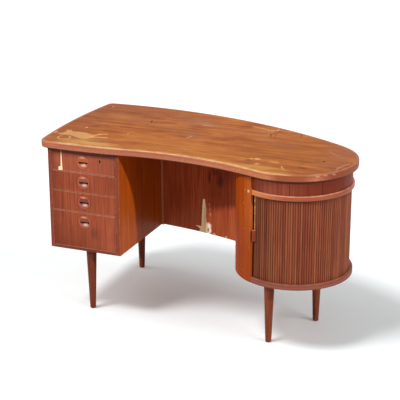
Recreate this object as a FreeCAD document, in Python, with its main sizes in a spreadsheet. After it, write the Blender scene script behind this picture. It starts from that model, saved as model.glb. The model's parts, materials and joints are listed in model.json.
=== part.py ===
# Kidney-shaped tambour desk in teak: a drawer pedestal, a curved modesty panel with a bookcase
# behind it, and a round cabinet closed by a tambour, under one top and on four turned legs.
# Millimetres, +Z up, X along the desk, drawers facing -Y, origin on the floor under the middle.
import FreeCAD
import Part
import Sketcher
import math
import os

Vector = FreeCAD.Vector
UP = Vector(0, 0, 1)

doc = FreeCAD.newDocument("TambourDesk")

# Driving dimensions
SIZES = (
    # the top: outline arcs, thickness and lipping
    ("overall_length", 1305),
    ("overall_depth", 741),
    ("desk_height", 736),
    ("top_thickness", 28),
    ("edging_width", 12),
    ("arris_round", 4),
    ("end_radius", 250),
    ("end_setback", 13),
    ("end_overhang", 7),
    ("back_radius", 1828),
    ("hollow_radius", 1172),
    ("hollow_overhang", 1.4),
    ("swell_radius", 1808),
    ("front_overhang", 26),
    ("left_radius", 2634),
    ("left_overhang", 49),
    ("back_overhang", 34),
    ("front_corner_round", 46),
    ("back_corner_round", 26),
    # legs and the studs that hold them
    ("leg_height", 274),
    ("leg_top_radius", 22),
    ("leg_foot_radius", 12),
    ("foot_round", 4),
    ("front_leg_inset", 52),
    ("rear_leg_inset", 62),
    ("leg_circle", 145),
    ("leg_turn_degrees", 67),
    ("stud_radius", 5),
    ("stud_depth", 45),
    ("stud_fit", 0.05),
    # drawer pedestal
    ("pedestal_width", 319),
    ("side_thickness", 16),
    ("bottom_thickness", 18),
    ("front_rail_height", 10),
    ("front_rail_depth", 20),
    ("top_rail_height", 14),
    ("top_rail_depth", 40),
    ("inner_back_thickness", 12),
    # drawers
    ("front_thickness", 20),
    ("front_gap", 1.5),
    ("front_side_gap", 1),
    ("top_gap", 5),
    ("small_front_share", 0.2064),
    ("top_front_extra", 6),
    ("front_chamfer", 0.8),
    ("drawer_side_thickness", 12),
    ("drawer_side_drop", 14),
    ("drawer_side_lift", 8),
    ("drawer_back_gap", 18),
    ("drawer_side_gap", 1),
    ("drawer_back_thickness", 10),
    ("drawer_bottom_thickness", 5),
    ("drawer_bottom_lift", 6),
    ("bottom_groove_depth", 4),
    ("bottom_play", 0.2),
    ("runner_thickness", 6.5),
    ("runner_height", 11.4),
    ("runner_play", 0.3),
    ("runner_setback", 24),
    # turned pulls
    ("pull_radius", 27.5),
    ("pull_flange", 2.6),
    ("pull_body_depth", 15),
    ("pull_rim", 2.4),
    ("pull_fit", 0.1),
    ("rim_round", 1),
    ("bowl_margin", 4.3),
    ("bowl_depth", 12),
    ("lip_thickness", 3),
    ("lip_inset", 1.3),
    ("lip_edge", 1.5),
    ("lip_recess", 0.9),
    ("pull_lift", 3),
    # lock of the top drawer
    ("key_offset", 77),
    ("key_drop", 33),
    ("keyhole_radius", 2.6),
    ("key_slot_width", 2.6),
    ("key_slot_length", 8),
    ("escutcheon_width", 9),
    ("escutcheon_height", 18),
    ("escutcheon_depth", 5),
    ("escutcheon_proud", 0.6),
    ("lock_case_width", 40),
    ("lock_case_height", 46),
    ("lock_case_depth", 11),
    ("bolt_width", 16),
    ("bolt_thickness", 5),
    ("bolt_height", 34),
    ("bolt_play", 0.3),
    ("bolt_throw", 12),
    ("bolt_drop", 0.5),
    ("mortise_play", 0.6),
    # modesty panel and bookcase
    ("modesty_inset", 218),
    ("modesty_thickness", 12),
    ("batten_width", 10),
    ("batten_depth", 8),
    ("shelf_thickness", 16),
    ("shelf_rise", 216),
    ("shelf_setback", 6),
    ("cleat_size", 12),
    ("cleat_setback", 20),
    # round cabinet
    ("cabinet_setback", 145),
    ("cabinet_turn_degrees", 61.3),
    ("base_radius", 232),
    ("base_thickness", 20),
    ("wall_proud", 2),
    ("wall_thickness", 12),
    ("track_board_thickness", 20),
    ("track_board_drop", 57),
    ("rail_thickness", 7.5),
    ("rail_round", 5),
    ("apron_thickness", 10),
    ("screw_head_radius", 6),
    ("screw_head_height", 1.6),
    ("screw_radius", 2.2),
    ("screw_length", 30),
    ("screw_edge", 12),
    ("screw_drop", 6),
    ("screw_slot", 1.2),
    ("cabinet_shelf_rise", 168),
    ("cabinet_shelf_thickness", 14),
    ("cabinet_back_offset", 62),
    ("cabinet_inner_gap", 7),
    # tambour
    ("tambour_gap", 3),
    ("slat_thickness", 7),
    ("slat_shoulder", 2.6),
    ("slat_width", 8.96),
    ("slat_gap", 0.6),
    ("tail_overlap", 24),
    ("canvas_thickness", 1),
    ("canvas_margin", 12),
    ("lead_slat_width", 14),
    ("lead_slat_gap", 3),
    ("track_depth", 8),
    ("track_play", 1),
    ("track_rest", 0.3),
    ("tambour_pull_height", 44),
    ("tambour_pull_width", 9),
    ("tambour_pull_reach", 15),
    ("tambour_pull_rise", 152),
    ("tambour_pull_round", 3),
    # one overrun for all cuts
    ("overrun", 5),
)

sheet = doc.addObject("Spreadsheet::Sheet", "Sizes")
for row, (alias, value) in enumerate(SIZES, start=1):
    sheet.set("A%d" % row, alias)
    sheet.set("B%d" % row, str(value))
    sheet.setAlias("B%d" % row, alias)

# Places worked out from the driving dimensions
PLACES = (
    ("end_x", "Sizes.overall_length / 2 - Sizes.end_radius"),
    ("end_y", "Sizes.end_radius - Sizes.overall_depth / 2"),
    ("cabinet_x", "Sizes.overall_length / 2 - Sizes.end_overhang - Sizes.base_radius"),
    ("cabinet_y", "end_y - Sizes.end_setback"),
    ("front_y", "cabinet_y - Sizes.cabinet_setback"),
    ("top_under", "Sizes.desk_height - Sizes.top_thickness"),
    # centres of the outline's other arcs, each tangent to the next
    ("back_y", "Sizes.overall_depth / 2 - Sizes.back_radius"),
    ("back_x", "end_x - sqrt((Sizes.back_radius - Sizes.end_radius)^2 - (end_y - back_y)^2)"),
    ("hollow_y", "front_y - Sizes.hollow_overhang - Sizes.hollow_radius"),
    ("hollow_x", "end_x - sqrt((Sizes.end_radius + Sizes.hollow_radius)^2 - (end_y - hollow_y)^2)"),
    ("swell_y", "front_y - Sizes.front_overhang + Sizes.swell_radius"),
    (
        "swell_x",
        "hollow_x - sqrt((Sizes.hollow_radius + Sizes.swell_radius)^2 - (swell_y - hollow_y)^2)",
    ),
    # pedestal
    ("pedestal_left", "Sizes.left_overhang - Sizes.overall_length / 2"),
    ("pedestal_right", "pedestal_left + Sizes.pedestal_width"),
    ("pedestal_middle", "pedestal_left + Sizes.pedestal_width / 2"),
    ("bay_left", "pedestal_left + Sizes.side_thickness"),
    ("bay_width", "Sizes.pedestal_width - 2 * Sizes.side_thickness"),
    ("carcass_radius", "Sizes.back_radius - Sizes.back_overhang"),
    ("pedestal_back", "back_y + sqrt(carcass_radius^2 - (pedestal_right - back_x)^2)"),
    ("carcass_height", "top_under - Sizes.leg_height"),
    ("left_x", "Sizes.left_radius - Sizes.overall_length / 2"),
    ("left_y", "(front_y + pedestal_back) / 2"),
    # modesty panel and bookcase, on the top's back arc centre
    ("modesty_radius", "Sizes.back_radius - Sizes.modesty_inset"),
    ("modesty_back", "modesty_radius + Sizes.modesty_thickness"),
    ("modesty_y", "back_y + sqrt(modesty_radius^2 - (pedestal_right - back_x)^2)"),
    ("batten_right", "pedestal_right + Sizes.batten_width"),
    ("batten_end", "back_y + sqrt(modesty_radius^2 - (batten_right - back_x)^2)"),
    ("batten_back", "min(modesty_y; batten_end)"),
    ("board_top", "Sizes.leg_height + Sizes.bottom_thickness"),
    ("shelf_z", "Sizes.leg_height + Sizes.shelf_rise"),
    # round cabinet
    ("wall_radius", "Sizes.base_radius + Sizes.wall_proud"),
    ("wall_inside", "wall_radius - Sizes.wall_thickness"),
    ("rail_radius", "wall_inside + Sizes.rail_thickness"),
    ("base_top", "Sizes.leg_height + Sizes.base_thickness"),
    ("track_board_top", "top_under - Sizes.track_board_drop"),
    ("track_board_under", "track_board_top - Sizes.track_board_thickness"),
    ("tambour_radius", "wall_inside - Sizes.tambour_gap"),
    ("canvas_outside", "tambour_radius - Sizes.slat_thickness"),
    ("canvas_inside", "canvas_outside - Sizes.canvas_thickness"),
    ("tambour_bottom", "base_top - Sizes.track_depth + Sizes.track_rest"),
    ("tambour_top", "track_board_under + Sizes.track_depth"),
    ("tambour_height", "tambour_top - tambour_bottom"),
    ("cabinet_clear", "canvas_inside - Sizes.cabinet_inner_gap"),
    ("cabinet_shelf_z", "base_top + Sizes.cabinet_shelf_rise"),
    ("tambour_pull_z", "base_top + Sizes.tambour_pull_rise"),
    # as many slats as reach from the leading slat to behind the far edge of the wall
    ("slat_pitch", "Sizes.slat_width + Sizes.slat_gap"),
    ("lead_reach", "Sizes.lead_slat_gap + Sizes.lead_slat_width"),
    ("slat_count", "ceil((pi * tambour_radius - lead_reach + Sizes.tail_overlap) / slat_pitch)"),
    # drawers: three shallow fronts share the height with a deep one, and the top one is a little taller
    ("front_room", "carcass_height - Sizes.front_rail_height - Sizes.top_gap"),
    ("front_stack", "front_room - 4 * Sizes.front_gap - Sizes.top_front_extra"),
    ("small_front_height", "front_stack * Sizes.small_front_share"),
    ("top_front_height", "small_front_height + Sizes.top_front_extra"),
    ("deep_front_height", "front_stack - 3 * small_front_height"),
    ("box_room", "modesty_y - front_y - Sizes.front_thickness"),
    ("drawer_box_length", "box_room - Sizes.drawer_back_gap"),
    ("drawer_width", "bay_width - 2 * Sizes.drawer_side_gap"),
    ("front_width", "bay_width - 2 * Sizes.front_side_gap"),
    ("groove_depth", "Sizes.runner_thickness - Sizes.drawer_side_gap + Sizes.runner_play"),
    ("groove_height", "Sizes.runner_height + 2 * Sizes.runner_play"),
    ("key_x", "pedestal_middle + Sizes.key_offset"),
    # turned pulls: just above the middle of a shallow front, and as far down on the deep one;
    # the bowl is a ball that leaves a margin at the rim
    ("pull_drop", "small_front_height / 2 - Sizes.pull_lift"),
    ("pull_body_radius", "Sizes.pull_radius - Sizes.pull_flange"),
    ("lip_radius", "pull_body_radius - Sizes.lip_inset"),
    ("bowl_mouth", "Sizes.pull_radius - Sizes.bowl_margin"),
    ("bowl_sink", "Sizes.bowl_depth + Sizes.pull_rim"),
    ("bowl_radius", "(bowl_mouth^2 + bowl_sink^2) / (2 * bowl_sink)"),
)

places = doc.addObject("Spreadsheet::Sheet", "Places")
for row, (alias, formula) in enumerate(PLACES, start=1):
    places.set("A%d" % row, alias)
    places.set("B%d" % row, "=" + formula)
    places.setAlias("B%d" % row, alias)
doc.recompute()


def size(alias):
    return float(sheet.get(alias))


def place(alias):
    return float(places.get(alias))


nodes = []


def node(item, label):
    """Names a finished piece; its label names its file."""
    item.Label = label
    nodes.append(item)
    return item


def bind(item, **expressions):
    """Binds properties to the sheets; a double underscore stands for a dot."""
    for name, expression in expressions.items():
        item.setExpression(name.replace("__", "."), expression)
    return item


def put(item, x, y, z, turn=None):
    """Binds a piece's place, and its turn about Z in degrees."""
    bind(item, Placement__Base__x=x, Placement__Base__y=y, Placement__Base__z=z)
    if turn:
        item.Placement.Rotation = FreeCAD.Rotation(UP, 1)
        bind(item, Placement__Rotation__Angle="(%s) * 1 deg" % turn)
    return item


def board(name, x, y, z, length, width, height, turn=None):
    """A plain board given by its lowest corner and its three sizes."""
    box = doc.addObject("Part::Box", name)
    bind(box, Length=length, Width=width, Height=height)
    return put(box, x, y, z, turn)


def rod(name, x, y, z, radius, height):
    """An upright round bar."""
    bar = doc.addObject("Part::Cylinder", name)
    bind(bar, Radius=radius, Height=height)
    return put(bar, x, y, z)


def cut(name, base, tools):
    """Takes one or more tools out of a base."""
    tool = tools[0]
    if len(tools) > 1:
        tool = doc.addObject("Part::MultiFuse", name + "_tools")
        tool.Shapes = tools
    result = doc.addObject("Part::Cut", name)
    result.Base = base
    result.Tool = tool
    return result


def group(name, items):
    """Separate solids that share one node."""
    result = doc.addObject("Part::Compound", name)
    result.Links = items
    return result


def shaped(name, shape):
    """A piece whose outline follows arcs that are worked out here."""
    feature = doc.addObject("Part::Feature", name)
    feature.Shape = shape
    feature.Placement = FreeCAD.Placement()
    return feature


def sketch_on(body, name, role):
    sketch = body.newObject("Sketcher::SketchObject", name)
    plane = next(item for item in body.Origin.OriginFeatures if item.Role == role)
    sketch.AttachmentSupport = [(plane, "")]
    sketch.MapMode = "FlatFace"
    return sketch


def hold_point(sketch, geometry, corner, name, across, up, start):
    """Holds one point of a sketch at a place bound to the sheets."""
    for axis, expression, value in (("X", across, start.x), ("Y", up, start.y)):
        index = sketch.addConstraint(
            Sketcher.Constraint("Distance" + axis, -1, 1, geometry, corner, value)
        )
        label = "%s_%s" % (name, axis)
        sketch.renameConstraint(index, label)
        sketch.setExpression("Constraints." + label, expression)


def polygon(sketch, points):
    """A closed outline of straight lines through points bound to the sheets."""
    count = len(points)
    turns = [2 * math.pi * number / count for number in range(count)]
    start = [Vector(math.cos(turn), math.sin(turn), 0) for turn in turns]
    for number in range(count):
        sketch.addGeometry(Part.LineSegment(start[number], start[(number + 1) % count]))
    for number in range(count):
        sketch.addConstraint(
            Sketcher.Constraint("Coincident", number, 2, (number + 1) % count, 1)
        )
    for number, (across, up) in enumerate(points):
        hold_point(sketch, number, 1, "point%d" % number, across, up, start[number])


def circle(sketch, across, up, radius):
    """A circle whose centre and radius are bound to the sheets."""
    number = sketch.addGeometry(Part.Circle(Vector(0, 0, 0), UP, 1))
    index = sketch.addConstraint(Sketcher.Constraint("Radius", number, 1))
    sketch.renameConstraint(index, "radius%d" % number)
    sketch.setExpression("Constraints.radius%d" % number, radius)
    hold_point(sketch, number, 3, "centre%d" % number, across, up, Vector(0, 0, 0))


def pad(body, sketch, length, reverse=False):
    feature = body.newObject("PartDesign::Pad", body.Name + "_pad")
    feature.Profile = sketch
    feature.Reversed = reverse
    bind(feature, Length=length)
    return feature


def pocket(body, sketch, length, reverse=False):
    feature = body.newObject("PartDesign::Pocket", body.Name + "_pocket")
    feature.Profile = sketch
    feature.Reversed = reverse
    bind(feature, Length=length)
    return feature


def turned(body, sketch, kind):
    """A full turn of a sketch about its upright axis, as added or removed material."""
    feature = body.newObject("PartDesign::" + kind, body.Name + "_" + kind.lower())
    feature.Profile = sketch
    feature.ReferenceAxis = (sketch, ["V_Axis"])
    feature.Angle = 360
    return feature


def toward(start, end):
    return (end - start).normalize()


def arc(centre, radius, start, end):
    """The shorter arc about a centre between two points on it."""
    middle = toward(centre, start) + toward(centre, end)
    return Part.Arc(start, centre + middle.normalize() * radius, end).toShape()


def line(start, end):
    return Part.LineSegment(start, end).toShape()


def slab(edges, bottom, height):
    """A board with the given outline, drawn at floor level."""
    face = Part.Face(Part.Wire(Part.__sortEdges__(edges)))
    face.translate(UP * bottom)
    return face.extrude(UP * height)


def meet(first, first_radius, second, second_radius, side):
    """Where two circles cross, on the chosen side of the line from first to second."""
    gap = (second - first).Length
    along = (gap**2 + first_radius**2 - second_radius**2) / (2 * gap)
    out = math.sqrt(first_radius**2 - along**2)
    way = toward(first, second)
    return first + way * along + Vector(-way.y, way.x, 0) * out * side


END = Vector(place("end_x"), place("end_y"), 0)
BACK = Vector(place("back_x"), place("back_y"), 0)
HOLLOW = Vector(place("hollow_x"), place("hollow_y"), 0)
SWELL = Vector(place("swell_x"), place("swell_y"), 0)
LEFT = Vector(place("left_x"), place("left_y"), 0)
CABINET = Vector(place("cabinet_x"), place("cabinet_y"), 0)


def top_outline(inset):
    """The kidney outline of the top: seven arcs, each tangent to the next, moved in by an inset."""
    end = size("end_radius") - inset
    back = size("back_radius") - inset
    hollow = size("hollow_radius") + inset
    swell = size("swell_radius") - inset
    left = size("left_radius") - inset
    front_corner = size("front_corner_round") - inset
    back_corner = size("back_corner_round") - inset
    front_centre = meet(SWELL, swell - front_corner, LEFT, left - front_corner, -1)
    back_centre = meet(BACK, back - back_corner, LEFT, left - back_corner, 1)
    back_to_end = END + toward(BACK, END) * end
    end_to_hollow = END + toward(END, HOLLOW) * end
    hollow_to_swell = SWELL + toward(SWELL, HOLLOW) * swell
    swell_to_corner = front_centre + toward(SWELL, front_centre) * front_corner
    corner_to_left = front_centre + toward(LEFT, front_centre) * front_corner
    left_to_corner = back_centre + toward(LEFT, back_centre) * back_corner
    corner_to_back = back_centre + toward(BACK, back_centre) * back_corner
    return [
        arc(END, end, back_to_end, end_to_hollow),
        arc(HOLLOW, hollow, end_to_hollow, hollow_to_swell),
        arc(SWELL, swell, hollow_to_swell, swell_to_corner),
        arc(front_centre, front_corner, swell_to_corner, corner_to_left),
        arc(LEFT, left, corner_to_left, left_to_corner),
        arc(back_centre, back_corner, left_to_corner, corner_to_back),
        arc(BACK, back, corner_to_back, back_to_end),
    ]


# Top: veneered panel with a mortise for the lock bolt, and a rounded lipping round it
panel_core = shaped(
    "TopCore",
    slab(top_outline(size("edging_width")), place("top_under"), size("top_thickness")),
)
mortise = board(
    "BoltMortise",
    "Places.key_x - Sizes.bolt_width / 2 - Sizes.mortise_play",
    "Places.front_y + Sizes.front_thickness - Sizes.lock_case_depth",
    "Places.top_under - Sizes.overrun",
    "Sizes.bolt_width + 2 * Sizes.mortise_play",
    "Sizes.lock_case_depth",
    "Sizes.overrun + Sizes.bolt_throw",
)
node(cut("TopPanel", panel_core, [mortise]), "top_panel")

edging = slab(top_outline(0), place("top_under"), size("top_thickness"))
outer_edges = [edge for edge in edging.Edges if edge.BoundBox.ZLength < size("arris_round")]
edging = edging.makeFillet(size("arris_round"), outer_edges)
edging = edging.cut(
    slab(
        top_outline(size("edging_width")),
        place("top_under") - size("overrun"),
        size("top_thickness") + 2 * size("overrun"),
    )
)
node(shaped("TopEdging", edging), "top_edging")


# Drawer pedestal: two sides, bottom board, front rail, top rail, inner back
def pedestal_side(name, x):
    return board(
        name,
        x,
        "Places.front_y",
        "Sizes.leg_height",
        "Sizes.side_thickness",
        "Places.pedestal_back - Places.front_y",
        "Places.carcass_height",
    )


node(pedestal_side("LeftSide", "Places.pedestal_left"), "pedestal_left_side")
node(
    pedestal_side("RightSide", "Places.pedestal_right - Sizes.side_thickness"),
    "pedestal_right_side",
)
node(
    board(
        "FrontRail",
        "Places.bay_left",
        "Places.front_y",
        "Sizes.leg_height",
        "Places.bay_width",
        "Sizes.front_rail_depth",
        "Sizes.front_rail_height",
    ),
    "pedestal_front_rail",
)
node(
    board(
        "TopRail",
        "Places.bay_left",
        "Places.front_y + Sizes.front_thickness + Sizes.front_gap",
        "Places.top_under - Sizes.top_rail_height",
        "Places.bay_width",
        "Sizes.top_rail_depth",
        "Sizes.top_rail_height",
    ),
    "pedestal_top_rail",
)
node(
    board(
        "InnerBack",
        "Places.bay_left",
        "Places.modesty_y",
        "Places.board_top",
        "Places.bay_width",
        "Sizes.inner_back_thickness",
        "Places.top_under - Places.board_top",
    ),
    "pedestal_inner_back",
)

# Legs: turned with a straight taper, held by studs in the boards above them
LEG_COS = "cos(Sizes.leg_turn_degrees * 1 deg)"
LEG_SIN = "sin(Sizes.leg_turn_degrees * 1 deg)"
LEGS = (
    (
        "front_left_leg",
        "Places.pedestal_middle",
        "Places.front_y + Sizes.front_leg_inset",
    ),
    (
        "rear_left_leg",
        "Places.pedestal_middle",
        "Places.pedestal_back - Sizes.rear_leg_inset",
    ),
    (
        "front_right_leg",
        "Places.cabinet_x - Sizes.leg_circle * " + LEG_COS,
        "Places.cabinet_y - Sizes.leg_circle * " + LEG_SIN,
    ),
    (
        "rear_right_leg",
        "Places.cabinet_x + Sizes.leg_circle * " + LEG_COS,
        "Places.cabinet_y + Sizes.leg_circle * " + LEG_SIN,
    ),
)


def leg(name, x, y):
    body = doc.addObject("PartDesign::Body", name)
    profile = sketch_on(body, name + "_profile", "XZ_Plane")
    polygon(
        profile,
        [
            ("0", "0"),
            ("Sizes.leg_foot_radius", "0"),
            ("Sizes.leg_top_radius", "Sizes.leg_height"),
            ("Sizes.stud_radius + Sizes.stud_fit", "Sizes.leg_height"),
            ("Sizes.stud_radius + Sizes.stud_fit", "Sizes.leg_height - Sizes.stud_depth"),
            ("0", "Sizes.leg_height - Sizes.stud_depth"),
        ],
    )
    shaft = turned(body, profile, "Revolution")
    doc.recompute()
    foot = [
        "Edge%d" % number
        for number, edge in enumerate(shaft.Shape.Edges, start=1)
        if isinstance(edge.Curve, Part.Circle) and abs(edge.CenterOfMass.z) < size("overrun")
    ]
    rounded = body.newObject("PartDesign::Fillet", name + "_foot")
    rounded.Base = (shaft, foot)
    bind(rounded, Radius="Sizes.foot_round")
    return put(body, x, y, "0")


def stud(name, x, y, radius):
    return rod(
        name,
        x,
        y,
        "Sizes.leg_height - Sizes.stud_depth",
        radius,
        "Sizes.stud_depth + Sizes.bottom_thickness",
    )


studs = []
stud_holes = []
for label, x, y in LEGS:
    node(leg(label.title().replace("_", ""), x, y), label)
    studs.append(stud("Stud_" + label, x, y, "Sizes.stud_radius"))
    hole = rod(
        "StudHole_" + label,
        x,
        y,
        "Sizes.leg_height - Sizes.overrun",
        "Sizes.stud_radius + Sizes.stud_fit",
        "Sizes.base_thickness + 2 * Sizes.overrun",
    )
    stud_holes.append(hole)
node(group("LegStuds", studs), "leg_studs")

bottom = board(
    "BottomBoard",
    "Places.bay_left",
    "Places.front_y + Sizes.front_rail_depth",
    "Sizes.leg_height",
    "Places.bay_width",
    "Places.pedestal_back - Places.front_y - Sizes.front_rail_depth",
    "Sizes.bottom_thickness",
)
node(cut("PedestalBottom", bottom, stud_holes[:2]), "pedestal_bottom")

# Drawer fronts are stacked upward from the front rail: a deep one, then three shallow ones, the last
# of them a little taller. Each is listed with its height, the height that its pull is set down from, and its lower edge.
SMALL = "Places.small_front_height"
TOPMOST = "Places.top_front_height"
DEEP = "Places.deep_front_height"
FIRST = "Sizes.leg_height + Sizes.front_rail_height + Sizes.front_gap"
STEP = "(Places.small_front_height + Sizes.front_gap)"
DRAWERS = (
    ("drawer_1", TOPMOST, SMALL, "%s + %s + Sizes.front_gap + 2 * %s" % (FIRST, DEEP, STEP)),
    ("drawer_2", SMALL, SMALL, "%s + %s + Sizes.front_gap + %s" % (FIRST, DEEP, STEP)),
    ("drawer_3", SMALL, SMALL, "%s + %s + Sizes.front_gap" % (FIRST, DEEP)),
    ("drawer_4", DEEP, DEEP, FIRST),
)
BOX_START = "Places.front_y + Sizes.front_thickness"
BOX_LEFT = "Places.bay_left + Sizes.drawer_side_gap"


def drawer_front(name, height, pull_from, bottom_z):
    """The front, with a blind round recess for the pull and softened front edges."""
    body = doc.addObject("PartDesign::Body", name)
    outline = sketch_on(body, name + "_outline", "XZ_Plane")
    half = "Places.front_width / 2"
    polygon(
        outline,
        [
            ("-" + half, "0"),
            (half, "0"),
            (half, height),
            ("-" + half, height),
        ],
    )
    blank = pad(body, outline, "Sizes.front_thickness", reverse=True)
    doc.recompute()
    edges = [
        "Edge%d" % number
        for number, edge in enumerate(blank.Shape.Edges, start=1)
        if abs(edge.BoundBox.YMax) < size("front_chamfer")
    ]
    softened = body.newObject("PartDesign::Chamfer", name + "_chamfer")
    softened.Base = (blank, edges)
    bind(softened, Size="Sizes.front_chamfer")
    recess = sketch_on(body, name + "_recess", "XZ_Plane")
    circle(
        recess,
        "0",
        "%s - Places.pull_drop" % pull_from,
        "Places.pull_body_radius + Sizes.pull_fit",
    )
    pocket(body, recess, "Sizes.pull_body_depth + Sizes.pull_fit")
    return put(body, "Places.pedestal_middle", "Places.front_y", bottom_z)


def drawer_sides(name, height, bottom_z):
    """Left side with a runner groove outside and a bottom groove inside, and its mirror image."""
    tall = "(%s - Sizes.drawer_side_drop - Sizes.drawer_side_lift)" % height
    thick = "Sizes.drawer_side_thickness"
    shelf_low = "Sizes.drawer_bottom_lift"
    shelf_high = "Sizes.drawer_bottom_lift + Sizes.drawer_bottom_thickness"
    groove_in = "Sizes.drawer_side_thickness - Sizes.bottom_groove_depth"
    groove_low = "(%s - Places.groove_height) / 2" % tall
    groove_high = "(%s + Places.groove_height) / 2" % tall
    body = doc.addObject("PartDesign::Body", name + "_left")
    profile = sketch_on(body, name + "_profile", "XZ_Plane")
    polygon(
        profile,
        [
            ("0", "0"),
            (thick, "0"),
            (thick, shelf_low),
            (groove_in, shelf_low),
            (groove_in, shelf_high),
            (thick, shelf_high),
            (thick, tall),
            ("0", tall),
            ("0", groove_high),
            ("Places.groove_depth", groove_high),
            ("Places.groove_depth", groove_low),
            ("0", groove_low),
        ],
    )
    pad(body, profile, "Places.drawer_box_length", reverse=True)
    put(body, BOX_LEFT, BOX_START, "%s + Sizes.drawer_side_lift" % bottom_z)
    mirrored = doc.addObject("Part::Mirroring", name + "_right")
    mirrored.Source = body
    mirrored.Normal = Vector(1, 0, 0)
    bind(mirrored, Base__x="Places.pedestal_middle")
    return group(name, [body, mirrored])


def drawer_bottom(name, bottom_z):
    inset = "(Sizes.drawer_side_thickness - Sizes.bottom_groove_depth + Sizes.bottom_play)"
    return board(
        name,
        "%s + %s" % (BOX_LEFT, inset),
        BOX_START,
        "%s + Sizes.drawer_side_lift + Sizes.drawer_bottom_lift" % bottom_z,
        "Places.drawer_width - 2 * %s" % inset,
        "Places.drawer_box_length",
        "Sizes.drawer_bottom_thickness - Sizes.bottom_play",
    )


def drawer_back(name, height, bottom_z):
    lift = "(Sizes.drawer_side_lift + Sizes.drawer_bottom_lift + Sizes.drawer_bottom_thickness)"
    return board(
        name,
        BOX_LEFT + " + Sizes.drawer_side_thickness",
        BOX_START + " + Places.drawer_box_length - Sizes.drawer_back_thickness",
        "%s + %s" % (bottom_z, lift),
        "Places.drawer_width - 2 * Sizes.drawer_side_thickness",
        "Sizes.drawer_back_thickness",
        "%s - Sizes.drawer_side_drop - %s" % (height, lift),
    )


def drawer_pull(name, pull_from, bottom_z):
    """Turned cup with a round bowl, its upper half closed by a flat lip to hook the fingers behind."""

    middle_z = "%s + %s - Places.pull_drop" % (bottom_z, pull_from)

    def facing_front(item, shift):
        item.Placement.Rotation = FreeCAD.Rotation(Vector(1, 0, 0), 90)
        return put(item, "Places.pedestal_middle", "Places.front_y + %s" % shift, middle_z)

    cup = doc.addObject("Part::Cylinder", name + "_cup")
    bind(
        cup,
        Radius="Places.pull_body_radius",
        Height="Sizes.pull_body_depth + Sizes.pull_rim",
    )
    facing_front(cup, "Sizes.pull_body_depth")
    flange = doc.addObject("Part::Cylinder", name + "_flange")
    bind(flange, Radius="Sizes.pull_radius", Height="Sizes.pull_rim")
    facing_front(flange, "0")
    blank = doc.addObject("Part::Fuse", name + "_blank")
    blank.Base = cup
    blank.Tool = flange
    bowl = doc.addObject("Part::Sphere", name + "_bowl")
    bind(bowl, Radius="Places.bowl_radius")
    bowl_y = "Places.front_y + Sizes.bowl_depth - Places.bowl_radius"
    put(bowl, "Places.pedestal_middle", bowl_y, middle_z)
    hollowed = cut(name + "_hollowed", blank, [bowl])
    disc = doc.addObject("Part::Cylinder", name + "_disc")
    bind(disc, Radius="Places.lip_radius", Height="Sizes.lip_thickness")
    facing_front(disc, "Sizes.lip_thickness + Sizes.lip_recess - Sizes.pull_rim")
    lower = board(
        name + "_lower",
        "Places.pedestal_middle - Sizes.pull_radius",
        "Places.front_y - Sizes.pull_radius",
        middle_z + " - Sizes.pull_radius",
        "2 * Sizes.pull_radius",
        "2 * Sizes.pull_radius",
        "Sizes.pull_radius + Sizes.lip_edge",
    )
    lip = cut(name + "_lip", disc, [lower])
    joined = doc.addObject("Part::Fuse", name + "_joined")
    joined.Base = hollowed
    joined.Tool = lip
    doc.recompute()
    rim = [
        number
        for number, edge in enumerate(joined.Shape.Edges, start=1)
        if isinstance(edge.Curve, Part.Circle)
        and abs(edge.Curve.Radius - size("pull_radius")) < size("pull_fit")
        and edge.CenterOfMass.y < place("front_y") - size("pull_fit")
    ]
    rounded = doc.addObject("Part::Fillet", name)
    rounded.Base = joined
    rounded.Edges = [(number, size("rim_round"), size("rim_round")) for number in rim]
    return rounded


def runner(name, x, height, bottom_z):
    rise = "(%s - Sizes.drawer_side_drop - Sizes.drawer_side_lift - Sizes.runner_height) / 2"
    return board(
        name,
        x,
        "Places.front_y + Sizes.runner_setback",
        "%s + Sizes.drawer_side_lift + %s" % (bottom_z, rise % height),
        "Sizes.runner_thickness",
        "Places.modesty_y - Places.front_y - Sizes.runner_setback",
        "Sizes.runner_height",
    )


runners = []
for label, height, pull_from, bottom_z in DRAWERS:
    name = label.title().replace("_", "")
    front = drawer_front(name + "Front", height, pull_from, bottom_z)
    if label == "drawer_1":
        locked_front = front
        lock_bottom = bottom_z
    else:
        node(front, label + "_front")
    node(drawer_sides(name + "Sides", height, bottom_z), label + "_sides")
    node(drawer_back(name + "Back", height, bottom_z), label + "_back")
    node(drawer_bottom(name + "Bottom", bottom_z), label + "_bottom")
    node(drawer_pull(name + "Pull", pull_from, bottom_z), label + "_pull")
    runners.append(runner(name + "RunnerLeft", "Places.bay_left", height, bottom_z))
    right_x = "Places.bay_left + Places.bay_width - Sizes.runner_thickness"
    runners.append(runner(name + "RunnerRight", right_x, height, bottom_z))
node(group("DrawerRunners", runners), "drawer_runners")

# Lock of the top drawer: case let into the back of the front, bolt that rises into the top
FRONT_TOP = "%s + %s" % (lock_bottom, TOPMOST)
KEY_Z = "%s - Sizes.key_drop" % FRONT_TOP
CASE_Y = "Places.front_y + Sizes.front_thickness - Sizes.lock_case_depth"
BOLT_Y = "%s + (Sizes.lock_case_depth - Sizes.bolt_thickness) / 2" % CASE_Y


def lock_box(name, width, play, y, depth, drop, height):
    return board(
        name,
        "Places.key_x - %s / 2 - %s" % (width, play),
        "%s - %s" % (y, play),
        "%s - (%s) - (%s)" % (FRONT_TOP, drop, height),
        "%s + 2 * %s" % (width, play),
        "%s + 2 * %s" % (depth, play),
        height,
    )


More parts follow.
